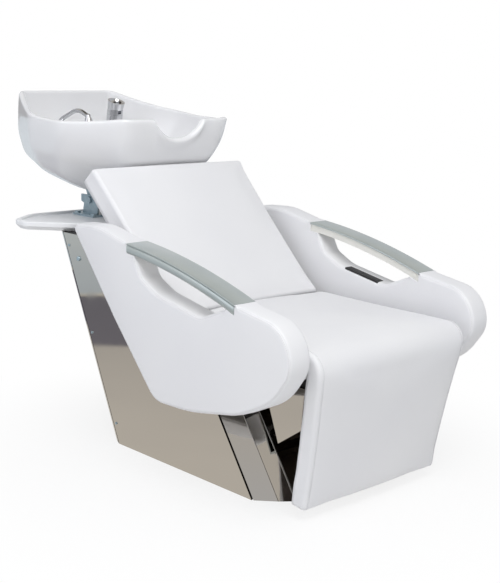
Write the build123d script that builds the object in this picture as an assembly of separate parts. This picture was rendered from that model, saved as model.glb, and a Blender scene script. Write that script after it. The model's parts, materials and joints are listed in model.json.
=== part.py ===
"""Backwash unit: a reclined salon seat with an electric leg-rest and a tilting ceramic bowl.

Millimetres, +Z up. The origin is on the floor at the centre of the floor plate's anchor holes.
The seat faces -Y and the bowl stands behind the backrest, at +Y.
"""
import os
from math import asin, atan2, cos, degrees, hypot, radians, sin, tan

from build123d import *

# Whole unit
overall_width = 700.0
sheet = 3.0
clearance = 0.3
overrun = 40.0

# Base
base_gap = 59.0
base_length = 546.0
deck_height = 545.0
front_lean_share = 0.6885
rear_lean_share = 0.4677
side_plate_shoulder_z = 315.0
side_plate_gap = 5.0
bevel = 22.0
bevel_width = 10.0
sheet_joint = 1.5
floor_plate_thickness = 6.0
front_sheet_height = 300.0
actuator_slot_width = 168.0
actuator_slot_z = 138.0
cross_drop = 160.0
cross_gap_share = 1.5
prow_first_inset = 43.0
prow_first_reach = 46.0
prow_nose_inset = 76.0
prow_nose_reach = 72.0
pipe_opening_width = 200.0
pipe_opening_length = 180.0
anchor_hole_radius = 6.5
anchor_edge = 56.0
anchor_end = 73.0
deck_thickness = 6.0
deck_gap = 24.0
tongue_width = 210.0
tongue_rear = 690.0
beam_spread = 89.0
tube_side = 30.0
tube_wall = 2.0
upright_inset = 35.0

# Seat and backrest
arm_gap = 23.0
seat_depth = 405.0
seat_front_overhang = 152.0
seat_rail_top = 330.0
seat_board_thickness = 15.0
seat_cushion_thickness = 60.0
seat_crown = 12.0
seat_board_setback = 10.0
bite_height = 394.0
recline = 45.5
back_cushion_thickness = 42.0
back_board_thickness = 14.0
back_crown = 8.0
side_draw = 7.0
cushion_edge_radius = 8.0
cushion_corner_radius = 16.0
rail_reach_share = 2.5
revolve_share = 0.6

# Leg-rest
leg_length = 305.0
leg_lean = 9.0
leg_taper = 25.0
leg_cushion_thickness = 26.0
leg_board_thickness = 12.0
leg_crown = 5.0
leg_range = 75.0
hinge_height = 325.0
hinge_setback = 5.0
hinge_to_face = 63.0
knee_radius = 44.0
hinge_pin_radius = 6.0
hinge_eye_radius = 12.0
hinge_plate = 5.5
hinge_side_gap = 0.5
running_fit = 0.05
lug_arm = 60.0
lug_pin_radius = 5.0
lug_plate = 6.0
rod_head_half = 6.0
rod_head_gap = 1.5
rod_radius = 7.0
actuator_radius = 24.0
actuator_tube_length = 190.0
motor_radius = 27.0
motor_length = 90.0

# Seat housing
housing_side_gap = 5.0
housing_corner_z = 150.0
housing_corner_y = -327.0
housing_front_gap = 14.0
housing_rear_y = -268.0
housing_front_rise_share = 0.69
housing_flange = 24.0

# Arms
arm_thickness = 65.0
arm_front = -505.0
arm_rear = 282.0
arm_bottom = 222.0
arm_top = 612.0
arm_edge_radius = 9.0
cap_rear = 54.0
cap_front = -331.0
cap_rear_top = 585.0
cap_front_top = 501.0
cap_rise = 11.5
cap_plate = 5.0
cap_skirt = 23.0
grip_bar_height = 18.0
grip_ledge = 28.0
spacer_radius = 10.0
spacer_head_radius = 9.0
spacer_head_height = 6.0

# Keypad
keypad_length = 118.0
keypad_width = 24.0
keypad_depth = 6.0
keypad_proud = 1.2
keypad_inset = 15.0
keypad_centre_y = -137.5
keypad_centre_z = 465.7
keypad_slope = 10.5
button_length = 50.0
button_width = 17.0
button_depth = 3.6
button_proud = 0.8
button_gap = 0.4
button_pitch = 56.0

# Shelf
shelf_half_width = 293.0
shelf_front = 400.0
shelf_rear = 724.0
shelf_thickness = 24.0
shelf_rim = 16.0
shelf_recess = 6.0
shelf_chamfer = 11.0
shelf_neck = 152.0
shelf_tip_rear_share = 0.25
shelf_tip_front_share = 0.44
shelf_neck_share = 1.5
shelf_side_share = 2 / 3
shelf_corner_shares = (0.9, 0.9, 1.2, 2, 4)

# Bowl, in its own frame: rim centre, untilted
bowl_width = 548.0
bowl_depth = 548.0
bowl_height = 232.0
bowl_wall = 13.0
bowl_centre_y = 552.0
bowl_above_deck = 329.0
bowl_tilt = 8.0
bowl_rear_rise = 6.0
bowl_side_dip = 16.0
bowl_flank = 45.0
neck_room = 256.9
bowl_wing_rise = 24.0
bowl_foot_length = 150.0
bowl_foot_width = 170.0
bowl_foot_offset = 55.0
ledge_depth = 92.0
ledge_front = 112.0
ledge_thickness = 12.0
pocket_half_width = 128.0
pocket_length = 54.0
basin_depth = 206.0
waist_extra = 8.0
neck_half_width = 78.0
neck_depth = 52.0
neck_flare_share = 1.3
drain_radius = 22.0
drain_offset_y = 10.0
strainer_flange_radius = 34.0
strainer_flange = 3.0
strainer_holes = 8
waste_length = 70.0

# Bowl bracket and tilt hinge
bracket_half_width = 48.0
bracket_plate = 6.0
bracket_length = 84.0
bracket_foot_length = 100.0
bracket_foot_width = 144.0
pivot_y = 632.0
pivot_above_deck = 64.0
pivot_radius = 7.0
pin_head_share = 1.5
tilt_plate = 5.0
pad_thickness = 4.0
tilt_range = 15.0
stop_side = 14.0
bracket_bolt_radius = 5.0
hose_hole_radius = 26.0
hose_y = 610.0

# Mixer and hand shower, on the bowl's rear ledge
mixer_x = 104.0
shower_x = -100.0
fitting_y = 156.0
mixer_radius = 24.0
mixer_height = 46.0
collar_height = 14.0
axle_height_share = 0.7
lever_slot_depth = 10.0
lever_gap = 0.6
lever_cap_height = 25.0
lever_cap_slant = 12.0
lever_relief = 16.0
lever_low_radius = 23.2
lever_top_radius = 26.0
lever_dish_rise = 13.0
tail_radius = 14.0
nut_radius = 21.0
nut_height = 8.0
socket_radius = 17.0
socket_height = 24.0
socket_lean = 24.0
handle_radius = 6.5
handle_reach = 148.0
handle_rise = 84.0
handle_start_share = 0.4
handle_straight_share = 1.7
handle_knee_share = 0.66
handle_tip_share = 0.86
handle_bend_shares = (0.5, 0.9)
spray_length_share = 1.6
spray_neck_share = 1.1
handle_knob_share = 1.15
head_turn = -18.0
spray_radius = 15.0

# Fasteners and electrics
side_bolt_radius = 7.0
side_bolt_height = 5.0
side_screw_radius = 3.5
side_screw_height = 2.0
side_bolt_inset = 65.0
side_bolt_drop = 64.0
side_screw_inset = 12.0
side_screw_height_shares = (0.1, 0.525, 0.94)
control_box_length = 140.0
control_box_width = 110.0
control_box_height = 55.0
control_box_gap_share = 1.5
inlet_width = 48.0
inlet_height = 32.0
inlet_depth = 22.0
inlet_z = 60.0

# Derived places
half_width = overall_width / 2
base_width = overall_width - 2 * (arm_thickness + base_gap)
seat_width = overall_width - 2 * (arm_thickness + arm_gap)
leg_bottom_width = seat_width - 2 * leg_taper
half_base = base_width / 2
anchor_spacing_x = base_width - 2 * anchor_edge
anchor_spacing_y = base_length - 2 * anchor_end
bowl_centre_z = deck_height + bowl_above_deck
pivot_z = deck_height + pivot_above_deck
side_bolt_z = deck_height - side_bolt_drop
front_y = -base_length / 2
rear_y = base_length / 2
seat_front = front_y - seat_front_overhang
seat_rear = seat_front + seat_depth
back_length = (
    (bowl_centre_y - seat_rear) * sin(radians(bowl_flank))
    + (bowl_centre_z - bite_height) * cos(radians(bowl_flank)) - neck_room
) / sin(radians(recline + bowl_flank))
seat_board_top = seat_rail_top + seat_board_thickness
arm_inner = half_width - arm_thickness
hinge_y = seat_front - hinge_setback
upright_outer = half_base - sheet
upright_inner = upright_outer - tube_side
rail_spread = upright_inner - tube_side / 2
back_plane = Plane(
    origin=(0, seat_rear, bite_height),
    x_dir=(1, 0, 0),
    z_dir=(0, -sin(radians(recline)), cos(radians(recline))),
)
leg_plane = Plane(
    origin=(0, hinge_y - hinge_to_face, hinge_height),
    x_dir=(1, 0, 0),
    z_dir=(0, -cos(radians(leg_lean)), -sin(radians(leg_lean))),
)
bowl_place = Pos(0, bowl_centre_y, bowl_centre_z) * Rot(bowl_tilt, 0, 0)


def behind_back_rails(z):
    """Where the line just behind the backrest's rails reaches height z."""
    depth = back_cushion_thickness + back_board_thickness + tube_side + side_plate_gap
    turn = radians(recline)
    return seat_rear + depth * sin(turn) + (z - bite_height + depth * cos(turn)) / tan(turn)


deck_front = behind_back_rails(deck_height) + deck_gap


def rounded_outline(points, radii):
    """A closed face in local XY: straight runs with rounded corners."""
    return make_face(FilletPolyline(*points, radius=radii, close=True).edges())


def side_solid(points, radii, x_low, x_high):
    """A solid whose outline lies in the side view (y, z), from x_low to x_high."""
    face = Plane.YZ * rounded_outline(points, radii)
    return Pos(x_low, 0, 0) * extrude(face, x_high - x_low)


def block(x_low, x_high, y_low, y_high, z_low, z_high):
    size = (x_high - x_low, y_high - y_low, z_high - z_low)
    middle = ((x_low + x_high) / 2, (y_low + y_high) / 2, (z_low + z_high) / 2)
    return Pos(*middle) * Box(*size)


def both_sides(solid):
    """The solid and its mirror image across the centre plane."""
    return Compound(children=[solid, mirror(solid, Plane.YZ)])


def x_rod(radius, x_low, x_high, y, z):
    return Pos((x_low + x_high) / 2, y, z) * Rot(0, 90, 0) * Cylinder(radius, x_high - x_low)


def leaning_sheet(plan_points, lean_share, height):
    """A folded sheet: a plan outline carried up along the lean, open towards the base."""
    outer = make_face(Polyline(*plan_points, close=True).edges())
    inner = offset(outer, amount=-sheet, kind=Kind.INTERSECTION)
    mouth_y = plan_points[0][1]
    away = 1 if plan_points[1][1] < mouth_y else -1
    lip = Pos(0, mouth_y + away * overrun / 2 - away * sheet, 0) * Rectangle(base_width * 2, overrun)
    rise = hypot(1, lean_share) * height
    return extrude(outer - inner - lip, rise, dir=(0, lean_share, 1))


def leaning_tube(y_foot, lean_share, z_low, z_high, x_low):
    """A square tube in a side-view lean, closed in x between x_low and x_low + tube_side."""
    def bar(inset):
        y_low = y_foot + lean_share * z_low + inset
        y_high = y_foot + lean_share * z_high + inset
        width = tube_side - 2 * inset
        face = Plane.YZ * make_face(Polyline(
            (y_low, z_low), (y_low + width, z_low), (y_high + width, z_high), (y_high, z_high), close=True
        ).edges())
        return Pos(x_low + inset, 0, 0) * extrude(face, width)
    return bar(0) - bar(tube_wall)


def box_tube(x_low, x_high, y_middle, z_middle, axis):
    """A square tube along X or Y, with its bore open at both ends."""
    length = x_high - x_low
    outer = Box(length, tube_side, tube_side)
    bore = Box(length + overrun, tube_side - 2 * tube_wall, tube_side - 2 * tube_wall)
    tube = outer - bore
    middle = (x_low + x_high) / 2
    if axis == "X":
        return Pos(middle, y_middle, z_middle) * tube
    return Pos(y_middle, middle, z_middle) * Rot(0, 0, 90) * tube


def crowned_pad(width, end_width, length, thickness, crown, draw):
    """A cushion in local XY with its face up: crowned both ways, its sides drawn in.

    It runs from y = 0 to y = length, and its long edges' middles lie at z = 0.
    """
    start = width / 2
    end = end_width / 2
    middle = (start + end) / 2 - draw
    plan = make_face([
        Line((-start, 0), (start, 0)),
        ThreePointArc((start, 0), (middle, length / 2), (end, length)),
        Line((end, length), (-end, length)),
        ThreePointArc((-end, length), (-middle, length / 2), (-start, 0)),
    ])
    body = Pos(0, 0, -thickness) * extrude(plan, thickness + 2 * crown)
    body = fillet(body.edges().filter_by(Axis.Z), cushion_corner_radius)
    deep = -2 * thickness - 2 * crown
    low = crown - crown * (width / middle) ** 2
    across = make_face([
        Line((-width, deep), (width, deep)),
        Line((width, deep), (width, low)),
        ThreePointArc((width, low), (0, crown), (-width, low)),
        Line((-width, low), (-width, deep)),
    ])
    bend_radius = length ** 2 / 8 / crown
    bend_axis = Axis((0, length / 2, crown - bend_radius), (1, 0, 0))
    half_turn = degrees(asin(length * revolve_share / bend_radius))
    profile = Pos(0, length / 2, 0) * (Plane.XZ * across)
    profile = profile.rotate(bend_axis, -half_turn)
    body &= revolve(profile, bend_axis, 2 * half_turn)
    top_face = body.faces().sort_by(Axis.Z)[-1]
    return fillet(top_face.edges(), cushion_edge_radius)


def floor_plate():
    plate = block(-upright_outer, upright_outer, front_y + sheet, rear_y - bevel, 0, floor_plate_thickness)
    plate -= Box(pipe_opening_width, pipe_opening_length, overrun)
    for side_x in (-1, 1):
        for side_y in (-1, 1):
            place = Pos(side_x * anchor_spacing_x / 2, side_y * anchor_spacing_y / 2, 0)
            plate -= place * Cylinder(anchor_hole_radius, overrun)
    return plate


def side_plate(side):
    edge_rear = rear_y - bevel - sheet_joint
    edge_front = front_y + sheet_joint
    points = [
        (edge_front, 0),
        (edge_rear, 0),
        (edge_rear + rear_lean_share * deck_height, deck_height),
        (behind_back_rails(deck_height), deck_height),
        (behind_back_rails(side_plate_shoulder_z), side_plate_shoulder_z),
        (edge_front + front_lean_share * side_plate_shoulder_z, side_plate_shoulder_z),
    ]
    low = half_base - sheet
    plate = side_solid(points, 0, low, half_base)
    for y, z, radius in side_fastener_places():
        plate -= x_rod(radius / 2 + running_fit, low - overrun, half_base + overrun, y, z)
    return plate if side > 0 else mirror(plate, Plane.YZ)


def front_sheet():
    points = [
        (half_base, front_y),
        (half_base - prow_first_inset, front_y - prow_first_reach),
        (half_base - prow_nose_inset, front_y - prow_nose_reach),
        (prow_nose_inset - half_base, front_y - prow_nose_reach),
        (prow_first_inset - half_base, front_y - prow_first_reach),
        (-half_base, front_y),
    ]
    shell = leaning_sheet(points, front_lean_share, front_sheet_height)
    half = actuator_slot_width / 2
    return shell - block(-half, half, 2 * front_y, 0, actuator_slot_z, front_sheet_height + overrun)


def rear_sheet():
    start = rear_y - bevel
    points = [
        (half_base, start),
        (half_base - bevel_width, rear_y),
        (-half_base + bevel_width, rear_y),
        (-half_base, start),
    ]
    shell = leaning_sheet(points, rear_lean_share, deck_height)
    hole_y = rear_y + rear_lean_share * inlet_z
    hole = block(
        -inlet_width / 2 - clearance, inlet_width / 2 + clearance,
        hole_y - overrun, hole_y + overrun,
        inlet_z - inlet_height / 2 - clearance, inlet_z + inlet_height / 2 + clearance,
    )
    return shell - hole - tongue_way()


def power_inlet():
    """The socket for the mains lead, in the rear sheet's lower middle."""
    face_y = rear_y + rear_lean_share * (inlet_z + inlet_height / 2)
    body = block(
        -inlet_width / 2, inlet_width / 2, face_y - inlet_depth, face_y,
        inlet_z - inlet_height / 2, inlet_z + inlet_height / 2,
    )
    well = block(
        -inlet_width / 2 + sheet, inlet_width / 2 - sheet, face_y - inlet_depth / 2, face_y + overrun,
        inlet_z - inlet_height / 2 + sheet, inlet_z + inlet_height / 2 - sheet,
    )
    return body - well


def frame_uprights():
    bars = []
    front_foot = front_y + upright_inset
    rear_foot = rear_y - bevel - upright_inset
    top = deck_height - deck_thickness
    for x_low in (upright_inner, -upright_outer):
        bars.append(leaning_tube(front_foot, front_lean_share, floor_plate_thickness, seat_rail_top, x_low))
        bars.append(leaning_tube(rear_foot, rear_lean_share, floor_plate_thickness, top, x_low))
    return Compound(children=bars)


def upright_middle(y_inset, lean_share, z):
    return y_inset + lean_share * z + tube_side / 2


cross_low_z = hinge_height - cross_drop
cross_high_z = deck_height - deck_thickness - cross_gap_share * tube_side


def frame_cross_tubes():
    front_foot = front_y + upright_inset
    rear_foot = rear_y - bevel - upright_inset
    places = [
        (upright_middle(front_foot, front_lean_share, cross_low_z), cross_low_z),
        (upright_middle(rear_foot, rear_lean_share, cross_low_z), cross_low_z),
        (upright_middle(rear_foot, rear_lean_share, cross_high_z), cross_high_z),
    ]
    tubes = [box_tube(-upright_inner, upright_inner, y, z, "X") for y, z in places]
    return Compound(children=tubes)


def seat_frame():
    """The welded frame of the seat and backrest: a level and a reclined tube on each side."""
    z = seat_rail_top - tube_side / 2
    frame = box_tube(seat_front + seat_board_setback, seat_rear + rail_reach_share * tube_side, rail_spread, z, "Y")
    outer_z = -back_cushion_thickness - back_board_thickness
    length = back_length - 2 * tube_side
    tube = Box(tube_side, length, tube_side)
    tube -= Box(tube_side - 2 * tube_wall, length + overrun, tube_side - 2 * tube_wall)
    frame += back_plane.location * Pos(rail_spread, length / 2 - tube_side / 2, outer_z - tube_side / 2) * tube
    low = rail_spread - tube_side
    for y, z in arm_fixings():
        frame -= x_rod(bracket_bolt_radius + running_fit, low, low + 3 * tube_side, y, z)
    frame -= block(low, low + 2 * tube_side, -base_length, base_length, seat_rail_top - 3 * tube_side,
                   seat_rail_top - tube_side)
    return both_sides(frame)


def top_deck():
    """The steel plate on the rear uprights that carries the shelf and the bowl bracket."""
    top = deck_height
    y_low = deck_front
    y_high = rear_y + rear_lean_share * top - bevel - sheet
    plate = block(-upright_outer, upright_outer, y_low, y_high, top - deck_thickness, top)
    return plate + block(-tongue_width / 2, tongue_width / 2, y_low, tongue_rear, top - deck_thickness, top)


def deck_beams():
    """Two square tubes under the deck that carry its tongue out behind the rear sheet."""
    z = deck_height - deck_thickness - tube_side / 2
    return both_sides(box_tube(deck_front + tube_side, tongue_rear, beam_spread, z, "Y"))


def tongue_way():
    """The notch in the rear sheet's top edge for the deck's tongue and beams."""
    half = tongue_width / 2 + clearance
    low = deck_height - deck_thickness - tube_side - clearance
    return block(-half, half, rear_y, tongue_rear + overrun, low, deck_height + overrun)


def bracket_bolt_places():
    spread_x = bracket_foot_width / 2 - 2 * bracket_bolt_radius
    spread_y = bracket_foot_length / 2 - 2 * bracket_bolt_radius
    middle = bracket_foot_middle()
    return [(sx * spread_x, middle + sy * spread_y) for sx in (-1, 1) for sy in (-1, 1)]


def bracket_foot_middle():
    return pivot_y


def shelf():
    outline = [
        (shelf_neck, shelf_front),
        (shelf_neck, shelf_front + shelf_neck_share * shelf_thickness),
        (shelf_half_width, shelf_rear - shelf_half_width * shelf_tip_front_share),
        (shelf_half_width, shelf_rear - shelf_half_width * shelf_tip_rear_share),
        (shelf_half_width * shelf_side_share, shelf_rear),
    ]
    outline += [(-x, y) for x, y in reversed(outline)]
    radii = [share * shelf_thickness for share in shelf_corner_shares]
    radii += list(reversed(radii))
    face = rounded_outline(outline, radii)
    tray = Pos(0, 0, deck_height) * extrude(face, shelf_thickness)
    bottom = tray.edges().group_by(Axis.Z)[0]
    tray = chamfer(bottom, shelf_chamfer)
    tray = fillet(tray.edges().group_by(Axis.Z)[-1], shelf_rim / 4)
    recess = offset(face, amount=-shelf_rim)
    tray -= Pos(0, 0, deck_height + shelf_thickness - shelf_recess) * extrude(recess, overrun)
    return tray


def seat_board():
    half = seat_width / 2 - 2 * side_draw
    return block(
        -half, half, seat_front + seat_board_setback, seat_rear - seat_board_setback,
        seat_rail_top, seat_board_top,
    )


def seat_cushion():
    pad = crowned_pad(seat_width, seat_width, seat_depth, seat_cushion_thickness, seat_crown, side_draw)
    lift = seat_board_top + seat_cushion_thickness + clearance
    return Pos(0, seat_front, lift) * pad


def back_board():
    half = seat_width / 2 - 2 * side_draw
    length = back_length - 2 * seat_board_setback
    board = Pos(0, back_length / 2, -back_cushion_thickness - back_board_thickness / 2)
    return back_plane.location * board * Box(2 * half, length, back_board_thickness)


def back_cushion():
    start = seat_crown
    pad = crowned_pad(
        seat_width, seat_width, back_length - start, back_cushion_thickness - clearance, back_crown, side_draw
    )
    return back_plane.location * Pos(0, start, 0) * pad


def leg_board():
    """The leg-rest's plywood, tapered like its pad."""
    inset = 2 * side_draw
    top = seat_width / 2 - inset
    bottom = leg_bottom_width / 2 - inset
    face = make_face(Polyline(
        (-top, -sheet), (top, -sheet), (bottom, -leg_length + inset), (-bottom, -leg_length + inset), close=True
    ).edges())
    board = Pos(0, 0, -leg_cushion_thickness - leg_board_thickness) * extrude(face, leg_board_thickness)
    return leg_plane.location * board


def leg_cushion():
    pad = crowned_pad(
        leg_bottom_width, seat_width, leg_length - sheet, leg_cushion_thickness - clearance, leg_crown, side_draw
    )
    return leg_plane.location * Pos(0, -leg_length, 0) * pad


def knee_cover():
    """The soft cover between the seat and leg-rest pads; it bends as the leg-rest rises."""
    face_y = hinge_y - hinge_to_face
    rear = seat_front - clearance
    low = hinge_height + sheet
    top = seat_board_top + seat_cushion_thickness
    front = face_y - clearance
    arc_rear = (front + knee_radius, top)
    arc_front = (front, top - knee_radius)
    slack = knee_radius * (1 - cos(radians(45)))
    face = make_face([
        Line((rear, seat_board_top + clearance), (rear, top)),
        Line((rear, top), arc_rear),
        ThreePointArc(arc_rear, (front + slack, top - slack), arc_front),
        Line(arc_front, (front, low)),
        Line((front, low), (face_y + leg_cushion_thickness, low)),
        Line((face_y + leg_cushion_thickness, low), (rear, seat_board_top + clearance)),
    ])
    half = seat_width / 2 - side_draw
    return Pos(-half, 0, 0) * extrude(Plane.YZ * face, 2 * half)


def leg_local(down, depth):
    """World (y, z) of a point on the leg-rest: down from its top, depth behind its face."""
    lean = radians(leg_lean)
    y = hinge_y - hinge_to_face + down * sin(lean) + depth * cos(lean)
    z = hinge_height - down * cos(lean) + depth * sin(lean)
    return y, z


board_back = leg_cushion_thickness + leg_board_thickness


def leg_hinge_plates():
    """Two steel plates from the leg-rest's board back to the hinge pins."""
    x_high = rail_spread - tube_side / 2 - hinge_plate - hinge_side_gap
    x_low = x_high - hinge_plate
    top = leg_local(hinge_plate, board_back)
    bottom = leg_local(leg_length / 4, board_back)
    tail = leg_local(leg_length / 4, board_back + hinge_plate)
    plate = side_solid(
        [top, bottom, tail, (hinge_y, hinge_height - hinge_eye_radius), (hinge_y, hinge_height)], 0, x_low, x_high
    )
    plate += x_rod(hinge_eye_radius, x_low, x_high, hinge_y, hinge_height)
    flange_x = x_low - 2 * hinge_eye_radius
    plate += side_solid(
        [top, bottom, tail, leg_local(hinge_plate, board_back + hinge_plate)], 0, flange_x, x_high
    )
    plate -= x_rod(hinge_pin_radius + running_fit, x_low - overrun, x_high + overrun, hinge_y, hinge_height)
    return both_sides(plate)


def seat_hinge_ears():
    """Two ears on the seat rails' inner faces that hold the hinge pins."""
    x_high = rail_spread - tube_side / 2
    x_low = x_high - hinge_plate
    rail_low = seat_rail_top - tube_side
    back = seat_front + seat_board_setback + 2 * hinge_eye_radius
    ear = side_solid(
        [
            (hinge_y, hinge_height - hinge_eye_radius), (back, rail_low),
            (back, seat_rail_top - hinge_plate / 2), (hinge_y, hinge_height),
        ], 0, x_low, x_high,
    )
    ear += x_rod(hinge_eye_radius, x_low, x_high, hinge_y, hinge_height)
    ear -= x_rod(hinge_pin_radius + running_fit, x_low - overrun, x_high + overrun, hinge_y, hinge_height)
    return both_sides(ear)


def leg_hinge_pins():
    x_high = rail_spread - tube_side / 2
    x_low = x_high - 3 * hinge_plate
    pin = x_rod(hinge_pin_radius, x_low, x_high, hinge_y, hinge_height)
    return both_sides(pin)


# Actuator line: it passes the hinge at the distance where the lug pin starts and ends on it
mount_y = upright_middle(front_y + upright_inset, front_lean_share, cross_low_z) - tube_side / 2
reach_y = hinge_y - mount_y
reach_z = hinge_height - cross_low_z
reach = hypot(reach_y, reach_z)
half_range = radians(leg_range / 2)
line_offset = lug_arm * cos(half_range)
line_angle = atan2(reach_z, -reach_y) - asin(line_offset / reach)
line_y = -cos(line_angle)
line_z = sin(line_angle)
foot_distance = (reach ** 2 - line_offset ** 2) ** 0.5
pin_start = foot_distance - lug_arm * sin(half_range)
rod_stroke = 2 * lug_arm * sin(half_range)
slot_length = lug_arm - line_offset
actuator_plane = Plane(
    origin=(0, mount_y, cross_low_z), x_dir=(1, 0, 0), z_dir=(0, line_y, line_z)
)


def lug_pin_place():
    return mount_y + line_y * pin_start, cross_low_z + line_z * pin_start


def leg_lug():
    """A plate on the leg-rest's board with two ears for the lug pin."""
    pin_y, pin_z = lug_pin_place()
    gap = rod_head_half + rod_head_gap
    middle = hinge_height - pin_z
    top = leg_local(middle - 2 * hinge_eye_radius, board_back)
    bottom = leg_local(middle + 2 * hinge_eye_radius, board_back)
    bottom_back = leg_local(middle + 2 * hinge_eye_radius, board_back + lug_plate)
    top_back = leg_local(middle - 2 * hinge_eye_radius, board_back + lug_plate)
    half = gap + 3 * lug_plate
    lug = side_solid([top, bottom, bottom_back, top_back], 0, -half, half)
    for x_low in (gap, -gap - lug_plate):
        ear = side_solid([
            top, bottom, (pin_y, pin_z - hinge_eye_radius), (pin_y, pin_z + hinge_eye_radius)
        ], 0, x_low, x_low + lug_plate)
        ear += x_rod(hinge_eye_radius, x_low, x_low + lug_plate, pin_y, pin_z)
        lug += ear
    lug -= x_rod(lug_pin_radius + running_fit, -half - overrun, half + overrun, pin_y, pin_z)
    return lug


def leg_lug_pin():
    pin_y, pin_z = lug_pin_place()
    half = rod_head_half + rod_head_gap + lug_plate
    return x_rod(lug_pin_radius, -half, half, pin_y, pin_z)


def actuator_body():
    """The electric actuator's tube, motor pot and rear mount, fixed to the front cross tube."""
    start = actuator_radius / 2
    tube = Pos(0, 0, start + actuator_tube_length / 2) * Cylinder(actuator_radius, actuator_tube_length)
    bore = Pos(0, 0, start + actuator_tube_length / 2 + tube_wall) * Cylinder(
        rod_radius + running_fit, actuator_tube_length
    )
    motor_z = start + motor_length / 2
    motor = Pos(actuator_radius + motor_radius - 2 * sheet, 0, motor_z) * Cylinder(motor_radius, motor_length)
    head = Pos(actuator_radius, 0, start + sheet * 3) * Box(4 * actuator_radius, 2 * actuator_radius, 6 * sheet)
    mount = Pos(0, 0, start / 2) * Box(2 * actuator_radius, 2 * lug_plate, start)
    body = tube + motor + head + mount
    body -= bore
    body = actuator_plane.location * body
    return body - block(-overall_width, overall_width, mount_y, mount_y + base_length, 0, deck_height)


def actuator_rod():
    """The rod and its slotted head, which pushes the lug pin."""
    head_radius = lug_pin_radius + rod_head_gap + lug_plate
    start = actuator_radius + tube_wall
    rod_end = pin_start - head_radius + tube_wall
    rod = Pos(0, 0, (start + rod_end) / 2) * Cylinder(rod_radius, rod_end - start)
    slot_middle = slot_length / 2
    head = Pos(0, -slot_middle, pin_start) * Box(2 * rod_head_half, slot_length + 2 * head_radius, 2 * head_radius)
    slot_half = lug_pin_radius + rod_head_gap
    slot_box = Box(overrun, slot_length, 2 * slot_half)
    slot = Pos(0, -slot_middle, pin_start) * slot_box
    for y in (0, -slot_length):
        slot += Pos(0, y, pin_start) * Rot(0, 90, 0) * Cylinder(slot_half, overrun)
    return actuator_plane.location * (rod + head - slot)


def seat_housing():
    """Polished U-shaped sheet under the seat front, hung from the rails by its folded flanges."""
    front = leg_local(hinge_height - housing_corner_z, board_back)[0] - housing_front_gap + tube_side
    front = min(front, seat_front)
    rise = (housing_corner_y - front) * housing_front_rise_share
    top = seat_rail_top - tube_side
    points = [
        (housing_corner_y, housing_corner_z),
        (housing_rear_y, top),
        (front, top),
        (front, housing_corner_z + rise),
    ]
    half = upright_inner + housing_side_gap
    outer = side_solid(points, 0, -half, half)
    inner_points = [
        (housing_corner_y + sheet, housing_corner_z + sheet),
        (housing_rear_y + overrun, housing_corner_z + sheet),
        (housing_rear_y + overrun, top + overrun),
        (front - overrun, top + overrun),
        (front - overrun, housing_corner_z + rise + sheet + overrun * housing_front_rise_share),
    ]
    tray = outer - side_solid(inner_points, 0, -half + sheet, half - sheet)
    flange = block(
        half - sheet - housing_flange, half - sheet, front, housing_rear_y - sheet, top - sheet, top,
    )
    return tray + flange + mirror(flange, Plane.YZ)


def cap_arc(drop):
    """Three points of the cap's top line, lowered by drop."""
    middle_y = (cap_rear + cap_front) / 2
    middle_z = (cap_rear_top + cap_front_top) / 2 + cap_rise
    return (cap_rear, cap_rear_top - drop), (middle_y, middle_z - drop), (cap_front, cap_front_top - drop)


def cap_band(top_drop, bottom_drop, x_low, x_high):
    """A slice of the arched cap between two drops below its top line."""
    a, b, c = cap_arc(top_drop)
    d, e, f = cap_arc(bottom_drop)
    face = make_face([ThreePointArc(a, b, c), Line(c, f), ThreePointArc(f, e, d), Line(d, a)])
    return Pos(x_low, 0, 0) * extrude(Plane.YZ * face, x_high - x_low)


def arm_cap(side):
    """The metal cap: a top plate and an outer skirt."""
    cap = cap_band(0, cap_plate, arm_inner, half_width)
    cap += cap_band(0, cap_skirt, half_width - cap_plate, half_width)
    return cap if side > 0 else mirror(cap, Plane.YZ)


def grip_bar(side):
    """The white bar under the cap; its inner side shows."""
    bar = cap_band(
        cap_plate + clearance, cap_plate + grip_bar_height, arm_inner + sheet, half_width - cap_plate - clearance
    )
    return bar if side > 0 else mirror(bar, Plane.YZ)


# Arm outline: shares of its length from the front and of its height from the bottom, then of corner radius
arm_outline_shares = [
    (1.0000, 0.985, 0.018), (0.8650, 1.000, 0.300),
]
arm_lower_shares = [
    (0.5850, 0.000, 0.080), (0.4200, 0.010, 0.700),
    (0.2050, 0.085, 0.350), (0.0750, 0.215, 0.200), (0.0000, 0.420, 0.090), (0.0350, 0.640, 0.100),
]
grip_hole_shares = [
    (0.6390, 0.735, 0.045), (0.5655, 0.6615, 0.150), (0.3660, 0.5870, 0.070),
]


def arm_point(share_point):
    y = arm_front + share_point[0] * (arm_rear - arm_front)
    z = arm_bottom + share_point[1] * (arm_top - arm_bottom)
    return y, z


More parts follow.
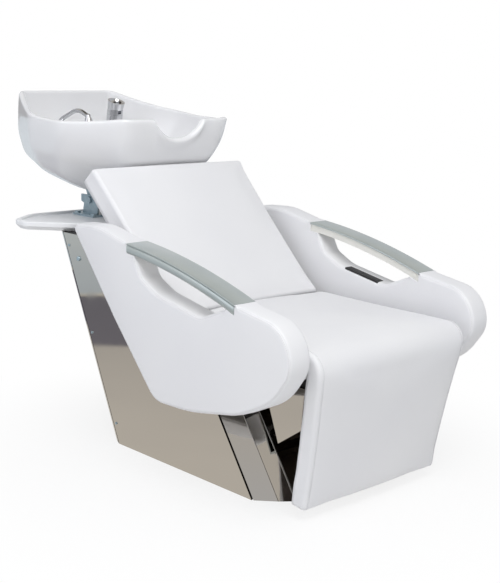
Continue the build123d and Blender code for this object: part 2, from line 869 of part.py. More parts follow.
def arm_panel(side):
    """One padded arm: a thick panel whose grip hole is closed above by the bar and cap."""
    length = arm_rear - arm_front
    seat_drop = cap_plate + grip_bar_height + clearance
    ledge_rear_z = cap_rear_top - seat_drop
    ledge_front_z = cap_front_top - seat_drop
    points = []
    radii = []
    for share in arm_outline_shares:
        points.append(arm_point(share))
        radii.append(share[2] * length)
    notch = [
        (cap_rear + clearance, cap_rear_top), (cap_rear + clearance, ledge_rear_z),
        (cap_rear - grip_ledge, ledge_rear_z - grip_ledge * cap_slope_rear()),
    ]
    points += notch
    radii += [0, 0, 0]
    for share in grip_hole_shares:
        points.append(arm_point(share))
        radii.append(share[2] * length)
    points += [
        (cap_front + grip_ledge, ledge_front_z + grip_ledge * cap_slope_front()),
        (cap_front - clearance, ledge_front_z), (cap_front - clearance, cap_front_top),
    ]
    radii += [0, 0, 0]
    for share in reversed(arm_lower_shares):
        points.append(arm_point(share))
        radii.append(share[2] * length)
    panel = side_solid(points, radii, arm_inner, half_width)
    panel -= cap_band(-overrun, cap_skirt + clearance, arm_inner - overrun, half_width + overrun)
    for y, z in arm_fixings():
        panel -= x_rod(bracket_bolt_radius + running_fit, 0, arm_inner + tube_side + sheet, y, z)
    return panel if side > 0 else mirror(panel, Plane.YZ)


def cap_slope_rear():
    """How far the cap's line falls per unit of length, near its rear end."""
    return (cap_rear_top - cap_front_top - 4 * cap_rise) / (cap_rear - cap_front)


def cap_slope_front():
    """The same near its front end."""
    return (cap_rear_top - cap_front_top + 4 * cap_rise) / (cap_rear - cap_front)


def arm_fixings():
    """Side-view places of the spacers between the seat frame and each arm."""
    level = seat_rail_top - tube_side / 2
    along = 5 * tube_side
    depth = back_cushion_thickness + back_board_thickness + tube_side / 2 - sheet
    turn = radians(recline)
    back_y = seat_rear + along * cos(turn) + depth * sin(turn)
    back_z = bite_height + along * sin(turn) - depth * cos(turn)
    return [(seat_front + 3 * tube_side, level), (seat_rear - 4 * tube_side, level), (back_y, back_z)]


def arm_spacers():
    tubes = []
    low = rail_spread + tube_side / 2
    for y, z in arm_fixings():
        tube = x_rod(spacer_radius, low, arm_inner, y, z)
        tube -= x_rod(bracket_bolt_radius + running_fit, low - overrun, arm_inner + overrun, y, z)
        tubes += [tube, mirror(tube, Plane.YZ)]
    return Compound(children=tubes)


def arm_bolts():
    bolts = []
    low = rail_spread - tube_side / 2
    for y, z in arm_fixings():
        bolt = x_rod(bracket_bolt_radius, low, arm_inner + tube_side, y, z)
        bolt += x_rod(spacer_head_radius, low - spacer_head_height, low, y, z)
        bolts += [bolt, mirror(bolt, Plane.YZ)]
    return Compound(children=bolts)


def cap_screws():
    """A small screw cover at the front inner end of each grip bar."""
    y = cap_front + grip_ledge / 2
    z = cap_front_top - cap_plate - grip_bar_height / 2 + grip_ledge / 2 * cap_slope_front()
    x_high = arm_inner + sheet
    return both_sides(x_rod(side_screw_radius, x_high - side_screw_height, x_high, y, z))


def keypad_place():
    return Pos(arm_inner + keypad_inset, keypad_centre_y, keypad_centre_z) * Rot(keypad_slope, 0, 0)


def keypad():
    """The slim black control panel on the sill of the grip hole."""
    panel = Pos(0, 0, keypad_proud - keypad_depth / 2) * Box(keypad_width, keypad_length, keypad_depth)
    depth = keypad_depth - sheet / 2
    pocket = Box(button_width + 2 * button_gap, button_length + 2 * button_gap, 2 * depth)
    for side in (-1, 1):
        panel -= Pos(0, side * button_pitch / 2, keypad_proud) * pocket
    return keypad_place() * panel


def keypad_seat():
    """The pocket that the keypad fills in the arm's sill."""
    pocket = Box(keypad_width + 2 * clearance, keypad_length + 2 * clearance, 2 * keypad_depth)
    return keypad_place() * Pos(0, 0, keypad_proud) * pocket


def keypad_button(side):
    rise = keypad_proud + button_proud - button_depth / 2
    button = Pos(0, side * button_pitch / 2, rise) * Box(button_width, button_length, button_depth)
    return keypad_place() * fillet(button.edges().group_by(Axis.Z)[-1], button_proud / 2)


def side_fastener_places():
    """Side-view places and shank radii of the bolt and screws on each side plate."""
    edge = rear_y - bevel - sheet_joint
    places = [(edge + rear_lean_share * side_bolt_z - side_bolt_inset + bevel, side_bolt_z, side_bolt_radius)]
    for share in side_screw_height_shares:
        z = deck_height * share
        places.append((edge + rear_lean_share * z - side_screw_inset, z, side_screw_radius))
    return places


def side_bolts():
    y, z, radius = side_fastener_places()[0]
    head = x_rod(radius, half_base, half_base + side_bolt_height, y, z)
    head = fillet(head.edges().group_by(Axis.X)[-1], side_bolt_height - sheet / 2)
    return both_sides(head + x_rod(radius / 2, half_base - sheet, half_base, y, z))


def side_screws():
    screws = []
    for y, z, radius in side_fastener_places()[1:]:
        head = x_rod(radius, half_base, half_base + side_screw_height, y, z)
        screw = head + x_rod(radius / 2, half_base - sheet, half_base, y, z)
        screws += [screw, mirror(screw, Plane.YZ)]
    return Compound(children=screws)


def control_box():
    x_low = -upright_inner + control_box_gap_share * tube_side
    y_low = pipe_opening_length / 2 + sheet
    return block(
        x_low, x_low + control_box_width,
        y_low, y_low + control_box_length, floor_plate_thickness, floor_plate_thickness + control_box_height,
    )


# Bowl sections: height share, half-width shares of rear, widest and front, reach shares of rear and front
bowl_wide_share = 0.42
bowl_fore_share = 0.70
bowl_corner_shares = (0.34, 0.9, 0.7, 0.30)
bowl_foot_swell_share = 1.12
basin_floor_width_share = 0.45
basin_floor_length_share = 0.42
basin_floor_swell_share = 1.15
bowl_section_shares = [
    (0.16, 0.60, 1.00, 0.66, 1.00, 1.00),
    (-0.26, 0.60, 0.97, 0.60, 1.00, 0.95),
    (-0.55, 0.58, 0.88, 0.52, 0.975, 0.80),
    (-0.82, 0.48, 0.66, 0.38, 0.84, 0.42),
]


def bowl_section(shares, inset, z):
    """One outline of the bowl in its own frame: a shield, narrow at the rear and at the wings."""
    height_share, rear_w, wide_w, front_w, rear_r, front_r = shares
    half = bowl_width / 2
    rear = rear_r * bowl_depth / 2 - inset
    front = -front_r * bowl_depth / 2 + inset
    span = rear - front
    points = [
        (rear_w * half - inset, rear),
        (wide_w * half - inset, rear - bowl_wide_share * span),
        (wide_w * half - inset, rear - bowl_fore_share * span),
        (front_w * half - inset, front),
    ]
    points += [(-x, y) for x, y in reversed(points)]
    small = min(rear_w * half, span / 4)
    radii = [small * share for share in bowl_corner_shares]
    radii += list(reversed(radii))
    return Pos(0, 0, z) * rounded_outline(points, radii)


def row_between(upper_row, lower_row, height_share):
    """The shares of the section at a height between two rows."""
    part = (upper_row[0] - height_share) / (upper_row[0] - lower_row[0])
    return [high + (low - high) * part for high, low in zip(upper_row, lower_row)]


def bowl_foot(inset):
    points = [
        (bowl_foot_width / 2 - inset, bowl_foot_length / 2 - inset),
        (bowl_foot_width / 2 * bowl_foot_swell_share - inset, bowl_foot_length / 6),
        (bowl_foot_width / 2 * bowl_foot_swell_share - inset, -bowl_foot_length / 6),
        (bowl_foot_width / 2 - inset, -bowl_foot_length / 2 + inset),
    ]
    points += [(-x, y) for x, y in reversed(points)]
    small = bowl_foot_length / 8
    return Pos(0, bowl_foot_offset, -bowl_height) * rounded_outline(points, [small] * len(points))


def rim_cutter():
    """What lies above the rim: high rear corners, low sides, raised wings."""
    half = bowl_depth / 2
    far = half + overrun
    face = make_face([
        Line((far, bowl_rear_rise), (half - bowl_wall, bowl_rear_rise)),
        ThreePointArc(
            (half - bowl_wall, bowl_rear_rise), (0, -bowl_side_dip), (-half + bowl_wall, bowl_wing_rise)
        ),
        Line((-half + bowl_wall, bowl_wing_rise), (-far, bowl_wing_rise)),
        Line((-far, bowl_wing_rise), (-far, bowl_height)),
        Line((-far, bowl_height), (far, bowl_height)),
        Line((far, bowl_height), (far, bowl_rear_rise)),
    ])
    return Pos(-bowl_width, 0, 0) * extrude(Plane.YZ * face, 2 * bowl_width)


def neck_cutter():
    """The notch for the neck, in the middle of the front wall."""
    top = bowl_wing_rise + overrun
    half = neck_half_width
    face = make_face([
        ThreePointArc((-half, bowl_wing_rise / 2), (0, bowl_wing_rise - neck_depth), (half, bowl_wing_rise / 2)),
        Line((half, bowl_wing_rise / 2), (half * neck_flare_share, top)),
        Line((half * neck_flare_share, top), (-half * neck_flare_share, top)),
        Line((-half * neck_flare_share, top), (-half, bowl_wing_rise / 2)),
    ])
    reach = bowl_depth / 4
    return Pos(0, -bowl_depth / 2 + reach, 0) * extrude(Plane.XZ * face, reach + overrun)


def bowl():
    """The ceramic bowl: lofted outside, lofted basin, a rear ledge for the fittings."""
    outer_sections = [bowl_section(row, 0, row[0] * bowl_height) for row in bowl_section_shares]
    shell = loft([bowl_foot(0)] + list(reversed(outer_sections)))
    top_row, second_row, third_row, last_row = bowl_section_shares
    ledge_row = row_between(second_row, third_row, -ledge_depth / bowl_height)
    upper = loft([
        bowl_section(ledge_row, bowl_wall, -ledge_depth),
        bowl_section(top_row, bowl_wall, top_row[0] * bowl_height + sheet),
    ])
    basin_top = bowl_section(ledge_row, bowl_wall, -ledge_depth)
    basin_floor = Pos(0, drain_offset_y, -basin_depth) * rounded_outline(
        basin_floor_points(), [bowl_foot_length / 8] * 8
    )
    basin_waist = bowl_section(third_row, bowl_wall + waist_extra, third_row[0] * bowl_height)
    basin = loft([basin_floor, basin_waist, basin_top])
    basin -= block(
        -bowl_width, bowl_width, ledge_front, bowl_depth, -bowl_height, -ledge_depth
    )
    solid = shell - upper - basin - rim_cutter() - neck_cutter()
    pocket_low = ledge_front + ledge_thickness
    solid -= block(
        -pocket_half_width, pocket_half_width, pocket_low, pocket_low + pocket_length,
        -2 * bowl_height, -ledge_depth - ledge_thickness,
    )
    solid -= Pos(0, drain_offset_y, -bowl_height) * Cylinder(drain_radius, 2 * (bowl_height - basin_depth) + overrun)
    for x in (mixer_x, shower_x):
        solid -= Pos(x, fitting_y, -ledge_depth) * Cylinder(tail_radius, overrun)
    return bowl_place * solid


def basin_floor_points():
    half_x = bowl_foot_width * basin_floor_width_share
    half_y = bowl_foot_length * basin_floor_length_share
    swell_x = half_x * basin_floor_swell_share
    points = [
        (half_x, half_y), (swell_x, half_y / 3), (swell_x, -half_y / 3), (half_x, -half_y),
    ]
    return points + [(-x, y) for x, y in reversed(points)]


def drain_strainer():
    """The chrome strainer in the basin floor."""
    cup = Pos(0, 0, strainer_flange / 2 + clearance) * Cylinder(strainer_flange_radius, strainer_flange)
    stem_height = bowl_height - basin_depth
    cup += Pos(0, 0, -stem_height / 2 + clearance) * Cylinder(drain_radius - clearance, stem_height)
    cup -= Pos(0, 0, -stem_height) * Cylinder(drain_radius - sheet, 2 * stem_height)
    hole = strainer_flange_radius / 9
    ring = drain_radius / 2
    for turn in range(strainer_holes):
        cup -= Rot(0, 0, turn * 360 / strainer_holes) * Pos(ring, 0, 0) * Cylinder(hole, overrun)
    return bowl_place * Pos(0, drain_offset_y, -basin_depth) * cup


def waste_tail():
    """The plastic waste fitting under the bowl: a collar and an outlet to the front."""
    collar = Pos(0, 0, -nut_height / 2 - clearance) * Cylinder(strainer_flange_radius, nut_height)
    pipe = Pos(0, 0, -waste_length / 2) * Cylinder(drain_radius - sheet / 2, waste_length - 2 * nut_height)
    bore = Cylinder(drain_radius - 2 * sheet, 4 * waste_length)
    return bowl_place * Pos(0, drain_offset_y, -bowl_height) * (collar + pipe - bore)


def ledge_place(x):
    return bowl_place * Pos(x, fitting_y, -ledge_depth)


def mixer_body():
    base = Pos(0, 0, sheet / 2) * Cylinder(mixer_radius + sheet, sheet)
    body = Pos(0, 0, mixer_height / 2) * Cylinder(mixer_radius, mixer_height)
    tail = Pos(0, 0, -tail_radius) * Cylinder(tail_radius - clearance, 2 * tail_radius)
    return ledge_place(mixer_x) * (base + body + tail)


def fitting_nuts():
    """The nuts under the ledge that hold the mixer and the hand shower's socket."""
    nuts = []
    for x in (mixer_x, shower_x):
        nut = extrude(RegularPolygon(nut_radius, 6), nut_height) - Cylinder(tail_radius, overrun)
        nuts.append(ledge_place(x) * Pos(0, 0, -ledge_thickness - nut_height - clearance) * nut)
    return Compound(children=nuts)


def mixer_collar():
    """The turning head of the mixer, with a slot in its crown for the lever."""
    z = mixer_height + clearance
    collar = Pos(0, 0, z + collar_height / 2) * Cylinder(mixer_radius, collar_height)
    collar -= Pos(0, 0, z + collar_height) * Box(2 * lug_plate, 4 * mixer_radius, 2 * lever_slot_depth)
    collar -= lever_axle(running_fit)
    return ledge_place(mixer_x) * collar


def lever_axle(extra):
    z = mixer_height + clearance + collar_height * axle_height_share
    return Pos(0, 0, z) * Rot(0, 90, 0) * Cylinder(sheet + extra, 2 * mixer_radius + 2 * extra)


def mixer_lever():
    """The lever: an arm in the collar's slot under a flared cap, relieved behind so that it tips back."""
    z = mixer_height + clearance + collar_height
    arm = Pos(0, 0, z - sheet) * Box(2 * lug_plate - 2 * clearance, 2 * lug_plate, collar_height / 2)
    arm += lever_axle(0)
    neck = Pos(0, 0, z) * Cylinder(lug_plate - clearance, 2 * sheet)
    top_place = Pos(0, -lug_plate / 2, z + lever_gap + lever_cap_height) * Rot(lever_cap_slant, 0, 0)
    cap = loft([Pos(0, 0, z + lever_gap) * Circle(lever_low_radius), top_place * Circle(lever_top_radius)])
    dish = top_place * Pos(0, 0, lever_dish_rise) * Sphere(lever_top_radius)
    relief = Pos(0, 2 * mixer_radius, -mixer_radius) * Box(4 * mixer_radius, 4 * mixer_radius, 2 * mixer_radius)
    cap -= Pos(0, 0, z + lever_gap) * Rot(lever_relief, 0, 0) * relief
    return ledge_place(mixer_x) * (arm + neck + cap - dish)


def shower_socket():
    """The hand shower's holder on the ledge, leaning forward with the handset."""
    flange = Pos(0, 0, sheet / 2) * Cylinder(socket_radius + sheet, sheet)
    lean = Rot(socket_lean, 0, 0)
    post = lean * Pos(0, 0, socket_height / 2) * Cylinder(socket_radius, socket_height + sheet)
    post -= Pos(0, 0, -socket_height) * Cylinder(overrun, 2 * socket_height)
    tail = Pos(0, 0, -tail_radius) * Cylinder(tail_radius - clearance, 2 * tail_radius)
    body = flange + post + tail
    body -= lean * Pos(0, 0, socket_height) * Cylinder(handle_radius + running_fit, 2 * socket_height)
    return ledge_place(shower_x) * body


def handle_tip():
    return 0, -handle_reach, handle_rise * handle_tip_share


def hand_shower():
    """The handset: a bent tube that rises from the socket and ends in its spray head."""
    lean = radians(socket_lean)
    start = socket_height * handle_start_share
    straight = socket_height * handle_straight_share
    a = (0, -sin(lean) * start, cos(lean) * start)
    b = (0, -sin(lean) * straight, cos(lean) * straight)
    knee = (0, -handle_reach * handle_knee_share, handle_rise)
    tip = handle_tip()
    bends = [handle_rise * share for share in handle_bend_shares]
    path = FilletPolyline(a, b, knee, tip, radius=bends)
    section = Plane(origin=a, z_dir=(0, -sin(lean), cos(lean))) * Circle(handle_radius)
    body = sweep(section, path=path)
    head_place = Pos(*tip) * Rot(head_turn, 0, 0)
    head_length = spray_radius * spray_length_share
    head = head_place * Pos(0, 0, -head_length / 2) * Cone(
        spray_radius, handle_radius * spray_neck_share, head_length
    )
    knob = Pos(*tip) * Sphere(handle_radius * handle_knob_share)
    return ledge_place(shower_x) * (body + head + knob)


def spray_face():
    disc = Pos(*handle_tip()) * Rot(head_turn, 0, 0)
    disc *= Pos(0, 0, -spray_radius * spray_length_share - sheet / 2)
    return ledge_place(shower_x) * disc * Cylinder(spray_radius - sheet / 2, sheet)


def bowl_bracket():
    """The fixed bracket: a foot on the shelf and two stepped cheeks."""
    foot_z = deck_height + shelf_thickness - shelf_recess
    middle = bracket_foot_middle()
    foot = block(
        -bracket_foot_width / 2, bracket_foot_width / 2,
        middle - bracket_foot_length / 2, middle + bracket_foot_length / 2,
        foot_z, foot_z + bracket_plate,
    )
    low_half = bracket_length / 2 - bracket_plate
    points = [
        (middle - low_half, foot_z), (middle + low_half, foot_z),
        (pivot_y + bracket_length / 3, pivot_z - 2 * bracket_plate),
        (pivot_y + bracket_length / 2, pivot_z - bracket_plate),
        (pivot_y + bracket_length / 2, pivot_z + 2 * pivot_radius),
        (pivot_y - bracket_length / 2, pivot_z + 2 * pivot_radius),
        (pivot_y - bracket_length / 2, pivot_z - 2 * bracket_plate),
    ]
    for x_low in (bracket_half_width - bracket_plate, -bracket_half_width):
        foot += side_solid(points, 0, x_low, x_low + bracket_plate)
    for x, y in bracket_bolt_places():
        foot -= Pos(x, y, foot_z) * Cylinder(bracket_bolt_radius + running_fit, overrun)
    foot -= hose_hole()
    half = bracket_half_width + overrun
    return foot - x_rod(pivot_radius + running_fit, -half, half, pivot_y, pivot_z)


def tilt_pin():
    half = bracket_half_width + bracket_plate
    pin = x_rod(pivot_radius, -half, half, pivot_y, pivot_z)
    for x_low in (bracket_half_width + clearance, -half):
        pin += x_rod(pivot_radius * pin_head_share, x_low, x_low + bracket_plate - clearance, pivot_y, pivot_z)
    return pin


def bowl_underside(extra):
    """A slab under the bowl's foot, extra below it, in the tilted frame."""
    return Pos(0, bowl_foot_offset, -bowl_height - extra)


def tilt_bracket():
    """The moving channel: a plate under the bowl and two ears on the tilt pin."""
    half = bracket_half_width - bracket_plate - sheet / 2
    plate_z = pad_thickness + clearance + tilt_plate / 2
    plate = bowl_place * bowl_underside(plate_z) * Box(2 * half, bowl_foot_length, tilt_plate)
    top_y, top_z = bowl_to_world(bowl_foot_offset - bracket_length / 3, -bowl_height - plate_z)
    end_y, end_z = bowl_to_world(bowl_foot_offset + bracket_length / 3, -bowl_height - plate_z)
    ears = None
    for x_low in (half - tilt_plate, -half):
        toe_z = stop_top() + clearance / 10
        ear = side_solid([
            (top_y, top_z), (stop_middle_y() - stop_side / 2, toe_z), (stop_middle_y() + stop_side / 2, toe_z),
            (pivot_y, pivot_z - 2 * pivot_radius), (pivot_y + 2 * pivot_radius, pivot_z), (end_y, end_z),
        ], 0, x_low, x_low + tilt_plate)
        ear += x_rod(2 * pivot_radius, x_low, x_low + tilt_plate, pivot_y, pivot_z)
        ears = ear if ears is None else ears + ear
    solid = plate - waste_way() + ears
    solid -= x_rod(pivot_radius + running_fit, -overall_width, overall_width, pivot_y, pivot_z)
    return solid


def waste_way():
    """The room that the waste fitting needs under the bowl, open to the front."""
    radius = strainer_flange_radius + 2 * clearance
    way = Cylinder(radius, 2 * overrun) + Pos(0, -overrun, 0) * Box(2 * radius, 2 * overrun, 2 * overrun)
    return bowl_place * Pos(0, drain_offset_y, -bowl_height - overrun + sheet) * way


def bowl_to_world(y, z):
    tilt = radians(bowl_tilt)
    return bowl_centre_y + y * cos(tilt) - z * sin(tilt), bowl_centre_z + y * sin(tilt) + z * cos(tilt)


def bowl_pad():
    """The rubber pad between the tilt bracket and the bowl's foot."""
    half = bracket_half_width - bracket_plate
    pad = Box(2 * half, bowl_foot_length, pad_thickness)
    return bowl_place * bowl_underside(pad_thickness / 2) * pad - waste_way()


def tilt_stop():
    """The nylon block on the bracket's foot that the tilt bracket leans on."""
    x = bracket_half_width - bracket_plate - stop_side
    y = stop_middle_y()
    block_low = stop_top() - stop_side
    return both_sides(block(x, x + stop_side, y - stop_side / 2, y + stop_side / 2, block_low, stop_top()))


def stop_middle_y():
    return pivot_y - bracket_foot_length / 2 + stop_side


def stop_top():
    return deck_height + shelf_thickness - shelf_recess + bracket_plate + stop_side


def bracket_bolts():
    """Four bolts through the bracket's foot and the shelf into the deck."""
    foot_z = deck_height + shelf_thickness - shelf_recess + bracket_plate
    bolts = []
    for x, y in bracket_bolt_places():
        head = Pos(x, y, foot_z) * extrude(RegularPolygon(2 * bracket_bolt_radius, 6), bracket_bolt_radius)
        low = deck_height - deck_thickness
        shank = Pos(x, y, (foot_z + low) / 2) * Cylinder(bracket_bolt_radius, foot_z - low)
        bolts.append(head + shank)
    return Compound(children=bolts)


def hose_hole():
    """The way of the waste hose through the bracket's foot, the shelf and the deck."""
    return Pos(0, hose_y, deck_height) * Cylinder(hose_hole_radius, 4 * overrun)


def bolt_holes():
    """The clear way of the bracket bolts through the shelf and the deck."""
    hole = Cylinder(bracket_bolt_radius + running_fit, 4 * overrun)
    return Compound(children=[Pos(x, y, deck_height) * hole for x, y in bracket_bolt_places()] + [hose_hole()])


nodes = {
    "floor_plate": floor_plate(),
    "side_plate_left": side_plate(-1),
    "side_plate_right": side_plate(1),
    "front_sheet": front_sheet(),
    "rear_sheet": rear_sheet(),
    "power_inlet": power_inlet(),
    "frame_uprights": frame_uprights(),
    "frame_cross_tubes": frame_cross_tubes(),
    "seat_frame": seat_frame(),
    "top_deck": top_deck() - bolt_holes(),
    "deck_beams": deck_beams(),
    "shelf": shelf() - bolt_holes(),
    "seat_board": seat_board(),
    "seat_cushion": seat_cushion(),
    "back_board": back_board(),
    "back_cushion": back_cushion(),
    "seat_housing": seat_housing(),
    "seat_hinge_ears": seat_hinge_ears(),
    "leg_hinge_pins": leg_hinge_pins(),
    "leg_hinge_plates": leg_hinge_plates(),
    "leg_board": leg_board(),
    "leg_cushion": leg_cushion(),
    "leg_lug": leg_lug(),
    "leg_lug_pin": leg_lug_pin(),
    "knee_cover": knee_cover(),
    "actuator_body": actuator_body(),
    "actuator_rod": actuator_rod(),
    "control_box": control_box(),
    "arm_panel_left": arm_panel(-1),
    "arm_panel_right": arm_panel(1) - keypad_seat(),
    "arm_cap_left": arm_cap(-1),
    "arm_cap_right": arm_cap(1),
    "grip_bar_left": grip_bar(-1),
    "grip_bar_right": grip_bar(1),
    "cap_screws": cap_screws(),
    "arm_spacers": arm_spacers(),
    "arm_bolts": arm_bolts(),
    "keypad": keypad(),
    "button_up": keypad_button(1),
    "button_down": keypad_button(-1),
    "side_bolts": side_bolts(),
    "side_screws": side_screws(),
    "bowl": bowl(),
    "drain_strainer": drain_strainer(),
    "waste_tail": waste_tail(),
    "mixer_body": mixer_body(),
    "fitting_nuts": fitting_nuts(),
    "mixer_collar": mixer_collar(),
    "mixer_lever": mixer_lever(),
    "shower_socket": shower_socket(),
    "hand_shower": hand_shower(),
    "spray_face": spray_face(),
    "bowl_bracket": bowl_bracket(),
    "bracket_bolts": bracket_bolts(),
    "tilt_pin": tilt_pin(),
    "tilt_bracket": tilt_bracket(),
    "bowl_pad": bowl_pad(),
    "tilt_stop": tilt_stop(),
}

os.makedirs("parts", exist_ok=True)
for name, shape in nodes.items():
    export_step(shape, f"parts/{name}.step")

print("nodes", len(nodes))
print("rod stroke", round(rod_stroke, 2), "ratio per radian", round(rod_stroke / radians(leg_range) / 1000, 6))
print("hinge", round(hinge_y, 2), hinge_height, "lug pin", [round(v, 2) for v in lug_pin_place()])
print("actuator axis", round(line_y, 5), round(line_z, 5))
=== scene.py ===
import json
from math import acos, ceil, copysign, cos, exp, pi, radians, sin, tan

import bpy
import numpy as np
from mathutils import Vector, Matrix
from mathutils.geometry import delaunay_2d_cdt


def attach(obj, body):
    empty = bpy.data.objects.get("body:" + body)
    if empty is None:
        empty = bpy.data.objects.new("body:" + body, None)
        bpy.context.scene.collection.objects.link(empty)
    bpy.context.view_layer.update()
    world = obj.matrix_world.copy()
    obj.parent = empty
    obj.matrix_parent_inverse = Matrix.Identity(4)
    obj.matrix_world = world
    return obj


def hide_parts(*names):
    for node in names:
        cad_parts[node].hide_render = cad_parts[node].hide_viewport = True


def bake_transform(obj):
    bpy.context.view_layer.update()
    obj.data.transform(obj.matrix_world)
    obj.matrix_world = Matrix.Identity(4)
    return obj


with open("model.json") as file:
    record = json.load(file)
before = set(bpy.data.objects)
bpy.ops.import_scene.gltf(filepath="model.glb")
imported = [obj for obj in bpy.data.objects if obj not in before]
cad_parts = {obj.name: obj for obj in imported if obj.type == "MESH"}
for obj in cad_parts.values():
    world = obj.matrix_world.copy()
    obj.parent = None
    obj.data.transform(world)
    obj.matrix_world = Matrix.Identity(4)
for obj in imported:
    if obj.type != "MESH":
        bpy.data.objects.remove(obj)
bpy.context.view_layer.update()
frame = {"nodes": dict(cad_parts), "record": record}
nodes = frame["nodes"]
scene = bpy.context.scene

# The scene is laid out in millimetres, as the part is, and scaled once when a mesh is made
mm = 0.001

unit = {
    "seatRear": -20.0, "seatHalf": 262.0, "seatTop": 405.3, "seatDepth": 74.0, "biteHeight": 394.0,
    "recline": 45.5, "hingeY": -430.0, "hingeZ": 325.0, "legFaceOffset": 71.0, "legLean": 10.3,
    "armInner": 285.0, "armOuter": 350.0,
}


def linear(hexColour):
    # One sRGB hex colour to the linear values that the shaders take
    channels = [int(hexColour[i:i + 2], 16) / 255 for i in (1, 3, 5)]
    return tuple(c / 12.92 if c <= 0.04045 else ((c + 0.055) / 1.055) ** 2.4 for c in channels) + (1.0,)


def addNode(tree, kind, settings=None, links=None):
    node = tree.nodes.new("ShaderNode" + kind)
    for key, value in (settings or {}).items():
        if isinstance(key, int) or key in node.inputs:
            node.inputs[key].default_value = value
        else:
            setattr(node, key, value)
    for key, source in (links or {}).items():
        tree.links.new(source, node.inputs[key])
    return node


def makeMaterial(name, colour, metallic=0.0, roughness=0.4, specular=0.5, coat=0.0, coatRoughness=0.05):
    material = bpy.data.materials.new(name)
    material.use_nodes = True
    shader = material.node_tree.nodes["Principled BSDF"]
    values = {
        "Base Color": linear(colour), "Metallic": metallic, "Roughness": roughness,
        "Specular IOR Level": specular, "Coat Weight": coat, "Coat Roughness": coatRoughness,
    }
    for key, value in values.items():
        shader.inputs[key].default_value = value
    return material


def objectCoordinates(tree, stretch=(1, 1, 1)):
    # Real lengths: an object sits at the origin, so its own coordinates are metres
    place = addNode(tree, "TexCoord")
    return addNode(
        tree, "Mapping", {"Scale": stretch}, {"Vector": place.outputs["Object"]}
    ).outputs["Vector"]


def addNoise(material, size, detail=2.0, stretch=(1, 1, 1)):
    # Noise whose patches are about the given number of millimetres across
    tree = material.node_tree
    return addNode(
        tree, "TexNoise", {"Scale": 1 / (size * mm), "Detail": detail},
        {"Vector": objectCoordinates(tree, stretch)},
    ).outputs["Fac"]


def addRamp(tree, source, stops):
    ramp = addNode(tree, "ValToRGB", links={"Fac": source})
    elements = ramp.color_ramp.elements
    while len(elements) < len(stops):
        elements.new(1.0)
    for element, (position, colour) in zip(elements, stops):
        element.position, element.color = position, linear(colour)
    return ramp


def addBump(material, height, relief, strength):
    tree = material.node_tree
    bump = addNode(tree, "Bump", {"Distance": relief * mm, "Strength": strength}, {"Height": height})
    tree.links.new(bump.outputs["Normal"], tree.nodes["Principled BSDF"].inputs["Normal"])


def addGrain(material, relief, strength, *noise):
    addBump(material, addNoise(material, *noise), relief, strength)


# Noise seldom leaves this range, so tones and roughness are spread across it
noiseLow, noiseHigh = 0.3, 0.7


def varyColour(material, low, high, *noise):
    tree = material.node_tree
    ramp = addRamp(tree, addNoise(material, *noise), [(noiseLow, low), (noiseHigh, high)])
    tree.links.new(ramp.outputs["Color"], tree.nodes["Principled BSDF"].inputs["Base Color"])


def varyRoughness(material, low, high, *noise):
    tree = material.node_tree
    spread = addNode(tree, "MapRange", {
        "From Min": noiseLow, "From Max": noiseHigh, "To Min": low, "To Max": high,
    }, {"Value": addNoise(material, *noise)})
    tree.links.new(spread.outputs["Result"], tree.nodes["Principled BSDF"].inputs["Roughness"])


# Leatherette: embossed vinyl on a knit; a pebble grain about 1.4 mm across, a soft satin shine
leather = {"grain": 1.4, "relief": 0.05, "tone": 260.0}
leatherette = makeMaterial("leatherette", "#ececee", roughness=0.42, specular=0.4)
tree = leatherette.node_tree
pebbles = addNode(
    tree, "TexVoronoi", {"Scale": 1 / (leather["grain"] * mm)}, {"Vector": objectCoordinates(tree)}
)
addBump(leatherette, pebbles.outputs["Distance"], leather["relief"], 0.35)
varyColour(leatherette, "#eaeaec", "#eeeeef", leather["tone"], 1.0)
varyRoughness(leatherette, 0.38, 0.47, 45.0)

# Sewing thread: bonded polyester, white, a little duller than the cover
thread = makeMaterial("thread", "#d9d8da", roughness=0.7)

# Base, front and rear sheet, seat housing: mirror-polished stainless, rippled by rolling, a bit hazy
polished = makeMaterial("polishedStainless", "#c8c4be", metallic=1.0, roughness=0.05)
addGrain(polished, 0.45, 0.5, 110.0, 1.0, (1, 1, 0.35))
varyRoughness(polished, 0.03, 0.08, 60.0, 3.0)

# Frame: welded steel tube under matt black powder coat, with its fine orange peel
powderCoat = makeMaterial("powderCoat", "#232425", roughness=0.55)
addGrain(powderCoat, 0.08, 0.5, 1.6)

# Bowl bracket, bolts and pins: steel, zinc-plated and blue-passivated; faint cloudy patches
zinc = makeMaterial("bluePassivatedZinc", "#a4b8c1", metallic=0.4, roughness=0.36)
varyColour(zinc, "#9db2bc", "#b2c3ca", 14.0, 3.0)

# Boards: birch plywood, painted dark brown-grey as shade, so that the polished front sheet reflects a shaded
# underside of the seat; long grain lines and open pores
plywood = makeMaterial("plywood", "#40362f", roughness=0.65)
varyColour(plywood, "#372e28", "#4a3f37", 5.0, 4.0, (1, 0.06, 0.06))

# Arm caps: extruded aluminium, satin silver-grey lacquer with a fine metal flake
capPaint = makeMaterial(
    "lacqueredAluminium", "#b3bcbb", metallic=0.45, roughness=0.3, coat=0.35, coatRoughness=0.12
)
varyColour(capPaint, "#b2bbba", "#bac2c0", 60.0, 2.0)

# Grip bars, stop and waste fitting: injection-moulded white ABS with a fine spark-eroded grain
whitePlastic = makeMaterial("mouldedWhite", "#e7e6df", roughness=0.38)
addGrain(whitePlastic, 0.03, 0.4, 0.9)

# Shelf: white ABS, thermoformed, glossy, with the soft waviness of a formed sheet
shelfWhite = makeMaterial("thermoformedWhite", "#f1f2f3", roughness=0.34, specular=0.3)
addGrain(shelfWhite, 0.15, 0.5, 40.0, 1.0)

